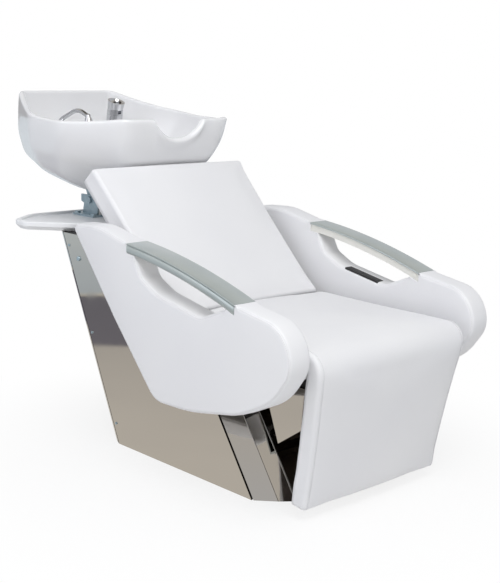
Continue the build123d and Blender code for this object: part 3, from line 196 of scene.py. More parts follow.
# Bowl: vitreous china under a clear poured glaze; a faint orange peel breaks its reflections
ceramic = makeMaterial("glazedChina", "#efeff0", roughness=0.22, specular=0.35, coat=0.45, coatRoughness=0.03)
addGrain(ceramic, 0.12, 0.4, 28.0, 1.0)

# Mixer, socket, hand shower and strainer: brass, polished and chrome-plated
chrome = makeMaterial("chromePlate", "#c9cacd", metallic=1.0, roughness=0.06)
addGrain(chrome, 0.05, 0.3, 30.0, 1.0)

# Nuts: turned brass, with the tool's fine rings
brass = makeMaterial("turnedBrass", "#b08d4a", metallic=1.0, roughness=0.3)
addGrain(brass, 0.03, 0.4, 0.8, 1.0, (1, 1, 12))

# Keypad, power inlet, control box and spray face: injection-moulded black ABS, finely grained
blackPlastic = makeMaterial("mouldedBlack", "#202021", roughness=0.42)
addGrain(blackPlastic, 0.03, 0.5, 0.8)
blackKeys = makeMaterial("siliconeKeys", "#333336", roughness=0.6)
addGrain(blackKeys, 0.02, 0.4, 0.6)

# Actuator: grey glass-filled nylon housing, slightly streaked by moulding
actuatorGrey = makeMaterial("filledNylon", "#4b4d50", roughness=0.5)
varyColour(actuatorGrey, "#45474a", "#525457", 8.0, 2.0, (1, 1, 0.3))

# Pad under the bowl: moulded rubber with talc left in its skin
rubber = makeMaterial("rubber", "#1b1b1b", roughness=0.8)
varyColour(rubber, "#171717", "#252525", 6.0, 3.0)

slotMaterials = {
    "polished_steel": polished, "rear_steel": polished, "frame_paint": powderCoat, "zinc_plate": zinc,
    "plywood": plywood, "leatherette": leatherette, "cap_metal": capPaint, "white_plastic": whitePlastic,
    "shelf_white": shelfWhite, "ceramic": ceramic, "chrome": chrome, "brass_nuts": brass,
    "black_plastic": blackPlastic, "black_buttons": blackKeys, "actuator_grey": actuatorGrey,
    "rod_chrome": chrome, "pad_rubber": rubber,
}
for row in frame["record"]["subparts"]:
    node = nodes[row["node"]]
    node.data.materials.clear()
    node.data.materials.append(slotMaterials[row["material_slot"]])
print("materials done")


def newObject(name, data):
    piece = bpy.data.objects.new(name, data)
    scene.collection.objects.link(piece)
    return piece


def meshObject(name, points, faces, material):
    mesh = bpy.data.meshes.new(name)
    mesh.from_pydata([tuple(mm * c for c in p) for p in points], [], [tuple(f) for f in faces])
    mesh.materials.append(material)
    mesh.polygons.foreach_set("use_smooth", [True] * len(mesh.polygons))
    mesh.update()
    return newObject(name, mesh)


def makeActive(piece):
    bpy.ops.object.select_all(action="DESELECT")
    piece.select_set(True)
    bpy.context.view_layer.objects.active = piece


def fixNormals(piece):
    makeActive(piece)
    bpy.ops.object.mode_set(mode="EDIT")
    bpy.ops.mesh.select_all(action="SELECT")
    bpy.ops.mesh.normals_make_consistent(inside=False)
    bpy.ops.object.mode_set(mode="OBJECT")


def ringFaces(count, first, second):
    # Quads between two closed rings of points that start at the given indices
    return [(first + i, first + (i + 1) % count, second + (i + 1) % count, second + i) for i in range(count)]


def roundedOutline(points, radii, step):
    # Straight runs and arcs as closely spaced points
    count = len(points)
    outline = []
    for i in range(count):
        here = np.array(points[i], float)
        toLast = np.array(points[i - 1], float) - here
        toNext = np.array(points[(i + 1) % count], float) - here
        toLast /= np.linalg.norm(toLast)
        toNext /= np.linalg.norm(toNext)
        radius = radii[i]
        if radius <= 0:
            outline.append(here)
            continue
        half = acos(np.clip(toLast @ toNext, -1, 1)) / 2
        run = radius / tan(half)
        start, end = here + toLast * run, here + toNext * run
        bisector = (toLast + toNext) / np.linalg.norm(toLast + toNext)
        centre = here + bisector * radius / sin(half)
        turn = pi - 2 * half
        pieces = max(3, int(turn * radius / step))
        a, b = start - centre, end - centre
        for k in range(pieces + 1):
            part = k / pieces
            ray = sin((1 - part) * turn) * a + sin(part * turn) * b
            outline.append(centre + ray / sin(turn))
    return spaced(outline, step)


def spaced(outline, step):
    # Adds points along the straight runs, so that no step is longer than the given one
    result = []
    for i, here in enumerate(outline):
        there = outline[(i + 1) % len(outline)]
        pieces = max(1, int(ceil(np.linalg.norm(there - here) / step)))
        result += [here + (there - here) * k / pieces for k in range(pieces)]
    return np.array(result)


def outlineNormals(outline):
    along = np.roll(outline, -1, 0) - np.roll(outline, 1, 0)
    along /= np.linalg.norm(along, axis=1)[:, None]
    inward = np.stack([-along[:, 1], along[:, 0]], 1)
    area = np.sum(outline[:, 0] * np.roll(outline[:, 1], -1) - np.roll(outline[:, 0], -1) * outline[:, 1])
    return inward if area > 0 else -inward


def eased(values, spread):
    # Gaussian smoothing along the first axis, with both ends held
    reach = int(3 * spread)
    bell = np.exp(-0.5 * (np.arange(-reach, reach + 1) / spread) ** 2)
    bell /= bell.sum()
    before = 2 * values[0] - values[reach:0:-1]
    after = 2 * values[-1] - values[-2:-reach - 2:-1]
    padded = np.concatenate([before, values, after])
    return sum(w * padded[k:k + len(values)] for k, w in enumerate(bell))


def alongPath(path, count):
    # The given number of evenly spaced points along a path
    run = np.concatenate([[0], np.cumsum(np.linalg.norm(np.diff(path, axis=0), axis=1))])
    at = np.linspace(0, run[-1], count)
    return np.stack([np.interp(at, run, path[:, c]) for c in range(path.shape[1])], 1)


# Bowl: cast in one piece; heights are from its rim's level, lengths from the middle of its rim
bowl = {
    "half": 274.0, "height": 232.0, "wall": 13.0, "tilt": 8.0, "place": (0.0, 552.0, 874.0),
    "rearRise": 6.0, "sideDip": 16.0, "wingRise": 24.0, "notchHalf": 78.0, "notchTop": 12.0,
    "notchLow": -28.0, "notchSide": 2.2, "notchCurve": 2.2, "notchFront": -120.0, "lip": 9.0,
    "lipDepth": 20.0, "lipHalf": 112.0, "lipFade": 50.0, "ledge": 92.0, "ledgeFront": 112.0,
    "ledgeThickness": 12.0, "pocket": (128.0, 124.0, 178.0), "floor": 206.0, "drain": 22.2, "middleY": 10.0,
    "lowMiddles": (57.0, 26.0), "foot": (85.0, 75.0, 1.12, 55.0), "basin": (76.5, 63.0, 1.15, 10.0),
    "ovalCorner": 18.0, "basinWall": 21.0, "crease": 10.0, "fittings": ((104.0, 156.0), (-100.0, 156.0)),
    "fittingHole": 14.2, "rays": 288, "sideShares": (0.42, 0.70), "cornerShares": (0.34, 0.9, 0.7, 0.30),
}
# Its sections as shares: height, half widths at the rear, middle and front, reach to the rear and front
bowlRows = [
    (-0.82, 0.48, 0.66, 0.38, 0.84, 0.42), (-0.55, 0.58, 0.88, 0.52, 0.975, 0.80),
    (-0.26, 0.60, 0.97, 0.60, 1.00, 0.95), (0.16, 0.60, 1.00, 0.66, 1.00, 1.00),
]


def shieldOutline(row, inset, rearCorner=None):
    # One section: narrow at the rear and at the wings
    height, rearWide, wide, frontWide, rearReach, frontReach = row
    half = bowl["half"]
    rear = rearReach * half - inset
    front = -frontReach * half + inset
    span = rear - front
    points = [(rearWide * half - inset, rear)]
    points += [(wide * half - inset, rear - share * span) for share in bowl["sideShares"]]
    points += [(frontWide * half - inset, front)]
    small = min(rearWide * half, span / 4)
    radii = [share * small for share in bowl["cornerShares"]]
    radii[0] = rearCorner or radii[0]
    points += [(-x, y) for x, y in reversed(points)]
    return roundedOutline(points, radii + radii[::-1], 3.0)


def ovalOutline(halfX, halfY, swell, middleY):
    points = [(halfX, halfY), (halfX * swell, halfY / 3), (halfX * swell, -halfY / 3), (halfX, -halfY)]
    points += [(-x, y) for x, y in reversed(points)]
    return roundedOutline([(x, y + middleY) for x, y in points], [bowl["ovalCorner"]] * 8, 3.0)


def rayAngles():
    # Angles from the rear, closer at the rear corners and round the neck
    fine = np.linspace(-pi, pi, 3601)
    density = 1 + 2.5 * np.exp(-((np.abs(fine) - 0.56) / 0.07) ** 2)
    density += 1.2 * np.exp(-((pi - np.abs(fine)) / 0.42) ** 2)
    total = np.concatenate([[0], np.cumsum((density[1:] + density[:-1]) / 2)])
    return np.interp(np.arange(bowl["rays"]) / bowl["rays"] * total[-1], total, fine)


def rayReach(outline, middleY, angles, spread):
    # How far each ray goes to meet the outline, with the outline's corners eased a little
    x, y = outline[:, 0], outline[:, 1] - middleY
    turns, reach = np.arctan2(x, y), np.hypot(x, y)
    order = np.argsort(turns)
    even = np.linspace(-pi, pi, 1440, endpoint=False)
    reach = np.interp(even, turns[order], reach[order], period=2 * pi)
    wide = int(4 * spread)
    reach = eased(np.concatenate([reach[-wide:], reach, reach[:wide]]), spread)[wide:-wide]
    return np.interp(angles, even, reach, period=2 * pi)


def throughLevels(levels, values, at):
    # A smooth curve through the values at the levels, for each ray
    levels = np.array(levels)
    slopes = np.gradient(values, levels, axis=0)
    k = np.clip(np.searchsorted(levels, at) - 1, 0, len(levels) - 2)
    ray = np.arange(values.shape[1])
    span = levels[k + 1] - levels[k]
    t = (at - levels[k]) / span
    return (
        values[k, ray] * (1 + 2 * t) * (1 - t) ** 2 + slopes[k, ray] * span * t * (1 - t) ** 2
        + values[k + 1, ray] * t * t * (3 - 2 * t) + slopes[k + 1, ray] * span * t * t * (t - 1)
    )


def softLow(a, b, blend):
    # The lower of two, with a rounded change from one to the other
    least = np.minimum(a, b)
    return least - blend * np.log(np.exp((least - a) / blend) + np.exp((least - b) / blend))


def rimHeight(x, y):
    # High rear corners, low sides and raised wings, and the notch for the neck
    t = np.clip(y / (bowl["half"] - bowl["wall"]), -1, 1)
    rear, dip, wing = bowl["rearRise"], bowl["sideDip"], bowl["wingRise"]
    rim = -dip + t * (rear - wing) / 2 + t * t * ((rear + wing) / 2 + dip)
    side = np.abs(x)
    low, top, half = bowl["notchLow"], bowl["notchTop"], bowl["notchHalf"]
    valley = low + (top - low) * (side / half) ** bowl["notchCurve"]
    notch = np.where(side < half, valley, top + bowl["notchSide"] * (side - half))
    return np.where(y < bowl["notchFront"], softLow(rim, notch, 3.0), rim)


def bowlToWorld(points):
    turn = radians(bowl["tilt"])
    x, y, z = points[..., 0], points[..., 1], points[..., 2]
    placed = [x, y * cos(turn) - z * sin(turn), y * sin(turn) + z * cos(turn)]
    return np.stack(placed, -1) + np.array(bowl["place"])


def bowlOutside(angles):
    # A function of the height that gives the outside's points, one for each ray
    levels = [-bowl["height"]] + [row[0] * bowl["height"] for row in bowlRows]
    centres = np.array([bowl["foot"][3], *bowl["lowMiddles"], bowl["middleY"], bowl["middleY"]])
    outlines = [ovalOutline(*bowl["foot"])] + [shieldOutline(row, 0) for row in bowlRows]
    reaches = np.array([rayReach(o, c, angles, 9.0) for o, c in zip(outlines, centres)])
    centreLine = np.repeat(centres[:, None], len(angles), 1)

    def outside(z):
        reach = throughLevels(levels, reaches, z)
        centre = throughLevels(levels, centreLine, z)
        return np.stack([reach * np.sin(angles), centre + reach * np.cos(angles), z], -1)

    return outside


def bowlInside(angles):
    # The same for the inside; below the rim it stops at the ledge that carries the fittings
    height, wall, middle, crease = (bowl[k] for k in ("height", "wall", "middleY", "crease"))
    low, high, top = bowlRows[1:]
    rise, span = -bowl["ledge"] / height - low[0], high[0] - low[0]
    ledgeRow = tuple(a + (b - a) * rise / span for a, b in zip(low, high))
    levels = [-bowl["floor"], low[0] * height, -bowl["ledge"], high[0] * height, top[0] * height]
    outlines = [
        ovalOutline(*bowl["basin"]), shieldOutline(low, bowl["basinWall"]), shieldOutline(ledgeRow, wall),
        shieldOutline(high, wall, crease), shieldOutline(top, wall, crease),
    ]
    easing = (9.0, 9.0, 5.0, 2.5, 2.5)
    reaches = np.array([rayReach(o, middle, angles, e) for o, e in zip(outlines, easing)])
    cosine = np.cos(angles)
    toLedge = np.where(cosine > 0.15, (bowl["ledgeFront"] - middle) / np.maximum(cosine, 0.15), 1e4)

    def inside(z, clip=False):
        reach = throughLevels(levels, reaches, z)
        if clip:
            reach = softLow(reach, toLedge, 4.0)
        return np.stack([reach * np.sin(angles), middle + reach * cosine, z], -1)

    return inside


def bowlRings():
    # Every ray's closed path: under the foot, up the outside, over the rim, down the inside, out at the drain
    angles = rayAngles()
    sine, cosine, level = np.sin(angles), np.cos(angles), np.ones(len(angles))
    outside, inside = bowlOutside(angles), bowlInside(angles)
    height, ledge, drain = bowl["height"], bowl["ledge"], bowl["drain"]
    drop = bowl["floor"] - ledge
    rim = 0 * level
    for step in range(3):
        top = outside(rim)
        rim = rimHeight(top[:, 0], top[:, 1])
    window = np.clip((bowl["lipHalf"] - np.abs(top[:, 0])) / bowl["lipFade"], 0, 1)
    window = window * (top[:, 1] < bowl["notchFront"])
    flare = bowl["lip"] * window * window * (3 - 2 * window)
    half = (bowl["wall"] + flare) / 2
    rim = rim - half

    below, sill = [
        np.stack([drain * sine, bowl["middleY"] + drain * cosine, -z * level], -1)
        for z in (height, bowl["floor"])
    ]
    foot = outside(-height * level)
    under = [below + (foot - below) * k / 24 for k in range(24)]
    climb = [outside(-height + (rim + height) * k / 120) for k in range(121)]
    for ring in climb:
        fade = np.exp(-((rim - ring[:, 2]) / bowl["lipDepth"]) ** 2)
        ring[:, 0] += flare * fade * sine
        ring[:, 1] += flare * fade * cosine
    down = [inside(rim + (-ledge - rim) * k / 40) for k in range(41)]
    edge = inside(-ledge * level, True)
    shelf = [down[-1] + (edge - down[-1]) * k / 40 for k in range(1, 41)]
    basin = [inside(-ledge - drop * k / 60 * level, True) for k in range(1, 61)]
    across = [basin[-1] + (sill - basin[-1]) * k / 24 for k in range(1, 25)]
    outer = np.array(under + climb)
    inner = np.array(down + shelf + basin + across)
    return np.array([rimRing(outer[:, i], inner[:, i], half[i]) for i in range(len(angles))])


def rimRing(outer, inner, half):
    # One ray's path, evenly spaced, with a half round over the rim and two points in the drain's bore
    up = alongPath(eased(alongPath(outer, 200), 3.0), 44)
    into = alongPath(eased(alongPath(inner, 240), 2.6), 66)
    centre = (up[-1] + into[0]) / 2
    reach = (up[-1] - into[0]) / 2
    turns = [radians(a) for a in range(20, 180, 20)]
    over = [centre + reach * cos(a) + np.array([0, 0, half]) * sin(a) for a in turns]
    bore = [into[-1] + (up[0] - into[-1]) * k / 3 for k in (1, 2)]
    return np.concatenate([up, over, into, bore])


def makeBowl():
    rings = bowlRings()
    rays, steps = rings.shape[:2]
    faces = []
    for i in range(rays):
        here, there = i * steps, (i + 1) % rays * steps
        faces += [(here + k, there + k, there + n, here + n) for k, n in enumerate([*range(1, steps), 0])]
    piece = meshObject("bowlShell", bowlToWorld(rings.reshape(-1, 3)), faces, ceramic)
    fixNormals(piece)
    halfX, front, rear = bowl["pocket"]
    roof = -bowl["ledge"] - bowl["ledgeThickness"]
    corners = [(-halfX, front), (halfX, front), (halfX, rear), (-halfX, rear)]
    cutAway(piece, bowlPrism(roundedOutline(corners, [8.0] * 4, 4.0), -2 * bowl["height"], roof))
    for x, y in bowl["fittings"]:
        turns = [radians(15 * k) for k in range(24)]
        hole = [(x + bowl["fittingHole"] * cos(a), y + bowl["fittingHole"] * sin(a)) for a in turns]
        cutAway(piece, bowlPrism(hole, roof - 20, -bowl["ledge"] + 20))
    piece.data.set_sharp_from_angle(angle=radians(48))
    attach(piece, "bowl_unit")
    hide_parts("bowl")


def bowlPrism(outline, low, high):
    count = len(outline)
    points = np.array([(x, y, z) for z in (low, high) for x, y in outline])
    faces = ringFaces(count, 0, count) + [tuple(range(count))[::-1], tuple(range(count, 2 * count))]
    cutter = meshObject("cutter", bowlToWorld(points), faces, ceramic)
    fixNormals(cutter)
    return cutter


def cutAway(piece, cutter):
    cut = piece.modifiers.new("cut", "BOOLEAN")
    cut.operation = "DIFFERENCE"
    cut.solver = "EXACT"
    cut.object = cutter
    makeActive(piece)
    bpy.ops.object.modifier_apply(modifier=cut.name)
    bpy.data.objects.remove(cutter)


makeBowl()
print("bowl done")


# Skin of a pad under pressure, simulated on a coarse copy; "most" is as far as it may move
skin = {"spacing": 12.0, "pressure": 3.0, "most": 4.0, "stiffness": 40.0, "bending": 4.0, "frames": 20}


def swollen(piece, pinned):
    coords = np.array([v.co for v in piece.data.vertices])
    copy = newObject("skin", piece.data.copy())
    makeActive(copy)
    remesh = copy.modifiers.new("even", "REMESH")
    remesh.mode = "VOXEL"
    remesh.voxel_size = skin["spacing"] * mm
    bpy.ops.object.modifier_apply(modifier=remesh.name)
    rest = np.array([v.co for v in copy.data.vertices])
    group = copy.vertex_groups.new(name="pinned")
    held = [i for i, p in enumerate(rest) if pinned(p / mm)]
    group.add(held, 1.0, "REPLACE")
    cloth = copy.modifiers.new("skin", "CLOTH")
    settings = cloth.settings
    settings.use_pressure = True
    settings.uniform_pressure_force = skin["pressure"]
    settings.effector_weights.gravity = 0.0
    settings.vertex_group_mass = group.name
    settings.tension_stiffness = settings.compression_stiffness = skin["stiffness"]
    settings.bending_stiffness = skin["bending"]
    cloth.collision_settings.use_collision = False
    for f in range(skin["frames"]):
        scene.frame_set(f + 1)
    shape = copy.evaluated_get(bpy.context.evaluated_depsgraph_get()).to_mesh()
    moved = np.array([v.co for v in shape.vertices]) - rest
    scene.frame_set(1)
    length = np.linalg.norm(moved, axis=1)
    print("swollen", piece.name, len(rest), "points, most", round(float(length.max()) / mm, 2), "mm")
    moved *= np.minimum(1, skin["most"] * mm / np.maximum(length, 1e-9))[:, None]
    # Each point of the piece follows the copy's points round it
    result = np.zeros_like(coords)
    reach = (1.2 * skin["spacing"] * mm) ** 2
    atOnce = 2000
    for start in range(0, len(coords), atOnce):
        block = coords[start:start + atOnce]
        gap = ((block[:, None, :] - rest[None, :, :]) ** 2).sum(2)
        weight = np.exp(-gap / reach) + 1e-30
        result[start:start + atOnce] = weight @ moved / weight.sum(1)[:, None]
    coords += result
    piece.data.vertices.foreach_set("co", coords.ravel())
    piece.data.update()
    bpy.data.objects.remove(copy)


# Pads: corner radius in plan, seam groove, net and stitch sizes
pad = {
    "corner": 10.0, "seam": 13.0, "seamWidth": 3.0, "seamDepth": 1.1, "grid": 12.0,
    "stitch": 3.4, "stitchPitch": 4.6, "stitchWidth": 0.9, "stitchHeight": 0.5,
}


def gradedSteps(length, radius):
    # Distances from one edge to the other: fine over the rounded edge and the seam, coarse between
    edge = [radius * (1 - cos(radians(a))) for a in (0, 18, 36, 54, 72, 90)]
    first = max(pad["seam"], radius + 2)
    seam = [first + pad["seamWidth"] * k / 4 for k in (-2, -1, 0, 1, 2)]
    near = edge + seam + [first + 5, first + 11]
    inner = length - 2 * near[-1]
    pieces = int(inner / pad["grid"])
    middle = [near[-1] + inner * k / pieces for k in range(1, pieces)]
    return np.array(near + middle + [length - d for d in reversed(near)])


def edgeDrop(distance, radius):
    inside = radius - np.minimum(distance, radius)
    return radius - np.sqrt(np.maximum(radius * radius - inside * inside, 0))


def seamDrop(distance):
    part = np.clip(np.abs(distance - pad["seam"]) / (pad["seamWidth"] / 2), 0, 1)
    return pad["seamDepth"] * (1 + np.cos(pi * part)) / 2


def padGrid(width, length, radius):
    # Across and along places of a pad's top, its corners rounded in plan, and the distance to its edge
    across, along = np.meshgrid(gradedSteps(width, radius), gradedSteps(length, radius))
    fromSide = np.minimum(across, width - across)
    fromEnd = np.minimum(along, length - along)
    a, b = (np.maximum(pad["corner"] - d, 0) for d in (fromSide, fromEnd))
    both = (a > 0) & (b > 0)
    shrink = np.where(both, np.maximum(a, b) / np.maximum(np.hypot(a, b), 1e-9), 1)
    across = across + np.where(both, np.sign(width / 2 - across) * a * (1 - shrink), 0)
    along = along + np.where(both, np.sign(length / 2 - along) * b * (1 - shrink), 0)
    return across, along, np.minimum(fromSide, fromEnd)


def closedPad(name, top, bottom):
    # A closed mesh from its top and bottom grids, with walls of four steps between their borders
    rows, cols = top.shape[:2]
    border = [(0, c) for c in range(cols)] + [(r, cols - 1) for r in range(1, rows)]
    border += [(rows - 1, c) for c in range(cols - 2, -1, -1)] + [(r, 0) for r in range(rows - 2, 0, -1)]
    points = list(top.reshape(-1, 3))
    faces = [
        (r * cols + c, r * cols + c + 1, (r + 1) * cols + c + 1, (r + 1) * cols + c)
        for r in range(rows - 1) for c in range(cols - 1)
    ]
    last = [r * cols + c for r, c in border]
    for share in (0.25, 0.5, 0.75):
        ring = []
        for r, c in border:
            ring.append(len(points))
            points.append(top[r, c] + (bottom[r, c] - top[r, c]) * share)
        faces += [(last[i], ring[i], ring[i - 1], last[i - 1]) for i in range(len(ring))]
        last = ring
    base = len(points)
    points += list(bottom.reshape(-1, 3))
    ring = [base + r * cols + c for r, c in border]
    faces += [(last[i], ring[i], ring[i - 1], last[i - 1]) for i in range(len(ring))]
    for r in range(rows - 1):
        here, there = base + r * cols, base + (r + 1) * cols
        faces += [(here + c, there + c, there + c + 1, here + c + 1) for c in range(cols - 1)]
    piece = meshObject(name, points, faces, leatherette)
    piece.data.validate()
    fixNormals(piece)
    return piece


def addStitches(piece, paths):
    # Thread along the given vertex paths: short six-sided beads, joined into the piece's own mesh
    mesh = piece.data
    points = [v.co / mm for v in mesh.vertices]
    normals = [v.normal.copy() for v in mesh.vertices]
    newPoints, newFaces = [], []
    for path in paths:
        total = nextAt = 0.0
        for i, j in zip(path[:-1], path[1:]):
            a, b = points[i], points[j]
            run = (b - a).length
            while nextAt < total + run:
                part = (nextAt - total) / max(run, 1e-6)
                centre = a.lerp(b, part)
                normal = normals[i].lerp(normals[j], part).normalized()
                along = (b - a).normalized()
                side = normal.cross(along)
                start = len(newPoints)
                reach = pad["stitch"] / 2
                newPoints.append(centre - along * reach)
                for share in (-0.5, 0.5):
                    for k in range(6):
                        turn = radians(60 * k)
                        newPoints.append(
                            centre + along * reach * share
                            + side * pad["stitchWidth"] / 2 * cos(turn)
                            + normal * pad["stitchHeight"] * (sin(turn) + 0.4)
                        )
                newPoints.append(centre + along * reach)
                end = len(newPoints) - 1
                for k in range(6):
                    here, there = start + 1 + k, start + 1 + (k + 1) % 6
                    newFaces += [
                        (start, there, here), (here, there, there + 6, here + 6), (end, here + 6, there + 6),
                    ]
                nextAt += pad["stitchPitch"]
            total += run
    base, kept = len(points), len(mesh.polygons)
    faces = [tuple(p.vertices) for p in mesh.polygons] + [tuple(base + i for i in f) for f in newFaces]
    fresh = bpy.data.meshes.new(piece.name)
    fresh.from_pydata([tuple(mm * c for c in p) for p in points + newPoints], [], faces)
    fresh.materials.append(mesh.materials[0])
    fresh.materials.append(thread)
    fresh.polygons.foreach_set("use_smooth", [True] * len(faces))
    fresh.polygons.foreach_set("material_index", [0] * kept + [1] * len(newFaces))
    fresh.update()
    piece.data = fresh


# Seat and leg-rest cover: one skin from under the backrest, over the knee, to the leg-rest's foot
cover = {
    "kneeRadius": 45.0, "rear": -22.0, "legEnd": 304.0, "footHalf": 237.0, "seatCrown": 10.0, "legCrown": 5.0,
    "legDepth": 37.0, "kneeDepth": 40.0, "bendDepth": 60.0, "sideDraw": 5.0, "edge": 10.0, "boardHalf": 240.0,
    "seamFade": 60.0,
}


def coverLine():
    # The cover's side-view line as close points with outward normals: seat, knee arc, leg-rest face
    lean, top, radius = radians(unit["legLean"]), unit["seatTop"], cover["kneeRadius"]
    faceY = unit["hingeY"] - unit["legFaceOffset"]
    rise = (top - unit["hingeZ"]) / cos(lean)
    cornerY = faceY - rise * sin(lean)
    turn = pi / 2 + lean
    run = radius * tan(turn / 2)
    arcStart = cornerY + run
    line = [((y, top), (0.0, 1.0)) for y in np.linspace(cover["rear"], arcStart, 40)]
    centre = (arcStart, top - radius)
    for angle in np.linspace(0, turn, 30)[1:]:
        normal = (-sin(angle), cos(angle))
        line.append((tuple(c + n * radius for c, n in zip(centre, normal)), normal))
    legStart = rise - run
    down = (sin(lean), -cos(lean))
    for d in np.linspace(-legStart, cover["legEnd"], 40)[1:]:
        line.append(((faceY + d * down[0], unit["hingeZ"] + d * down[1]), (-cos(lean), -sin(lean))))
    places = np.array([p for p, n in line])
    normals = np.array([n for p, n in line])
    lengths = np.concatenate([[0], np.cumsum(np.linalg.norm(np.diff(places, axis=0), axis=1))])
    return places, normals, lengths, cover["rear"] - arcStart, radius * turn


def makeCover():
    places, normals, lengths, seatLength, kneeLength = coverLine()
    width = 2 * unit["seatHalf"]
    across, along, edge = padGrid(width, lengths[-1], cover["edge"])
    y, z, ny, nz = [np.interp(along, lengths, values) for values in (*places.T, *normals.T)]
    size = np.hypot(ny, nz)
    ny, nz = ny / size, nz / size
    onLeg = np.clip((along - seatLength - kneeLength) / (lengths[-1] - seatLength - kneeLength), 0, 1)
    half = unit["seatHalf"] + (cover["footHalf"] - unit["seatHalf"]) * onLeg
    draw = cover["sideDraw"] * np.sin(pi * np.clip(along / seatLength, 0, 1))
    draw = draw + cover["sideDraw"] * np.sin(pi * onLeg)
    share = (across - width / 2) / (width / 2)
    x = share * (half - draw)
    onKnee = np.clip((along - seatLength * 0.8) / (seatLength * 0.2 + kneeLength), 0, 1)
    crown = cover["seatCrown"] + (cover["legCrown"] - cover["seatCrown"]) * onKnee
    lift = crown * (1 - share ** 2) - edgeDrop(edge, cover["edge"])
    seam = np.where(across < width / 2, seamDrop(across), seamDrop(width - across))
    lift -= seam * np.clip((along - seatLength * 0.7) / cover["seamFade"], 0, 1)
    top = np.stack([x, y + ny * lift, z + nz * lift], 2)
    places = [0, seatLength * 0.8, seatLength, seatLength + kneeLength * 0.5, seatLength + kneeLength * 1.1]
    depths = [unit["seatDepth"]] * 2 + [cover[k] for k in ("bendDepth", "kneeDepth", "legDepth")]
    depth = np.interp(along, places, depths)
    bottom = np.stack([x, y - ny * depth, z - nz * depth], 2)
    piece = closedPad("seatCover", top, bottom)
    swollen(piece, lambda p: abs(p[0]) < cover["boardHalf"] and coverUnderside(p))
    rows, cols = top.shape[:2]
    steps = gradedSteps(width, cover["edge"])
    paths = []
    for distance in (pad["seam"] + pad["seamWidth"] / 2, pad["seam"] - pad["seamWidth"] / 2):
        column = int(np.argmin(np.abs(steps - distance)))
        firstRow = int(np.argmin(np.abs(along[:, 0] - seatLength * 0.85)))
        for c in (column, cols - 1 - column):
            paths.append([r * cols + c for r in range(firstRow, rows - 2)])
    addStitches(piece, paths)
    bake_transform(piece)
    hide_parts("seat_cushion", "knee_cover", "leg_cushion")


def coverUnderside(p):
    lean = radians(unit["legLean"])
    depth = (p[1] - unit["hingeY"] + unit["legFaceOffset"]) * cos(lean)
    depth += (p[2] - unit["hingeZ"]) * sin(lean)
    return p[2] < unit["seatTop"] - unit["seatDepth"] + 2 and depth > cover["legDepth"] - 2


makeCover()
print("seat cover done")

# Backrest pad: its own frame runs up the recline from the bite; its cover goes round the board
back = {"start": 12.0, "reach": 475.0, "depth": 55.0, "crown": 8.0, "sideDraw": 6.0, "edge": 10.0}


def makeBack():
    turn = radians(unit["recline"])
    width = 2 * unit["seatHalf"]
    across, along, edge = padGrid(width, back["reach"], back["edge"])
    share = (across - width / 2) / (width / 2)
    rise = along / back["reach"]
    x = share * (unit["seatHalf"] - back["sideDraw"] * np.sin(pi * rise))
    lift = back["crown"] * (1 - share ** 2) * (1 - (2 * rise - 1) ** 2 * 0.7) - edgeDrop(edge, back["edge"])
    run = along + back["start"]
    offset = np.array([0, unit["seatRear"], unit["biteHeight"]])

    def leaned(rise):
        y, z = run * cos(turn) - rise * sin(turn), run * sin(turn) + rise * cos(turn)
        return np.stack([x, y, z], 2) + offset

    piece = closedPad("backPad", leaned(lift), leaned(-back["depth"]))

    def underside(p):
        q = p - offset
        return -q[1] * sin(turn) + q[2] * cos(turn) < 2 - back["depth"]

    swollen(piece, underside)
    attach(piece, "base")
    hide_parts("back_cushion")


makeBack()
print("backrest done")

# Arm panels: outline points as shares of length and height, with corner radii as shares of length
arm = {
    "front": -505.0, "rear": 282.0, "bottom": 222.0, "top": 612.0, "edge": 11.0, "tightEdge": 1.2,
    "puff": 3.0, "puffReach": 22.0, "step": 4.0, "core": 13.0, "tightCore": 4.0, "seamDepth": 0.8,
    "seamRing": 7, "stitchRing": 5, "bandRound": 0.8, "net": 14.0, "netEdge": 6.0, "netMargin": 7.0,
    "sharpFade": 14.0,
}
# The cap's ends and their tops, the rise between them, and the cut that the cap leaves in the panel
cap = {
    "rear": 54.0, "front": -331.0, "rearTop": 585.0, "frontTop": 501.0, "rise": 11.5, "gap": 0.5,
    "skirt": 23.6, "ledge": 28.0,
}
armUpper = [(1.0100, 0.985, 0.018), (0.8650, 1.000, 0.300)]
armHole = [(0.6390, 0.735, 0.045), (0.5655, 0.6615, 0.150), (0.3660, 0.5870, 0.070)]
armLower = [
    (0.0220, 0.650, 0.112), (-0.0120, 0.420, 0.090), (0.0640, 0.205, 0.200), (0.2000, 0.073, 0.350),
    (0.4150, -0.010, 0.700), (0.5750, -0.018, 0.080), (0.7800, 0.431, 0.600),
]
armHalf = (unit["armOuter"] - unit["armInner"]) / 2
armMiddle = (unit["armOuter"] + unit["armInner"]) / 2


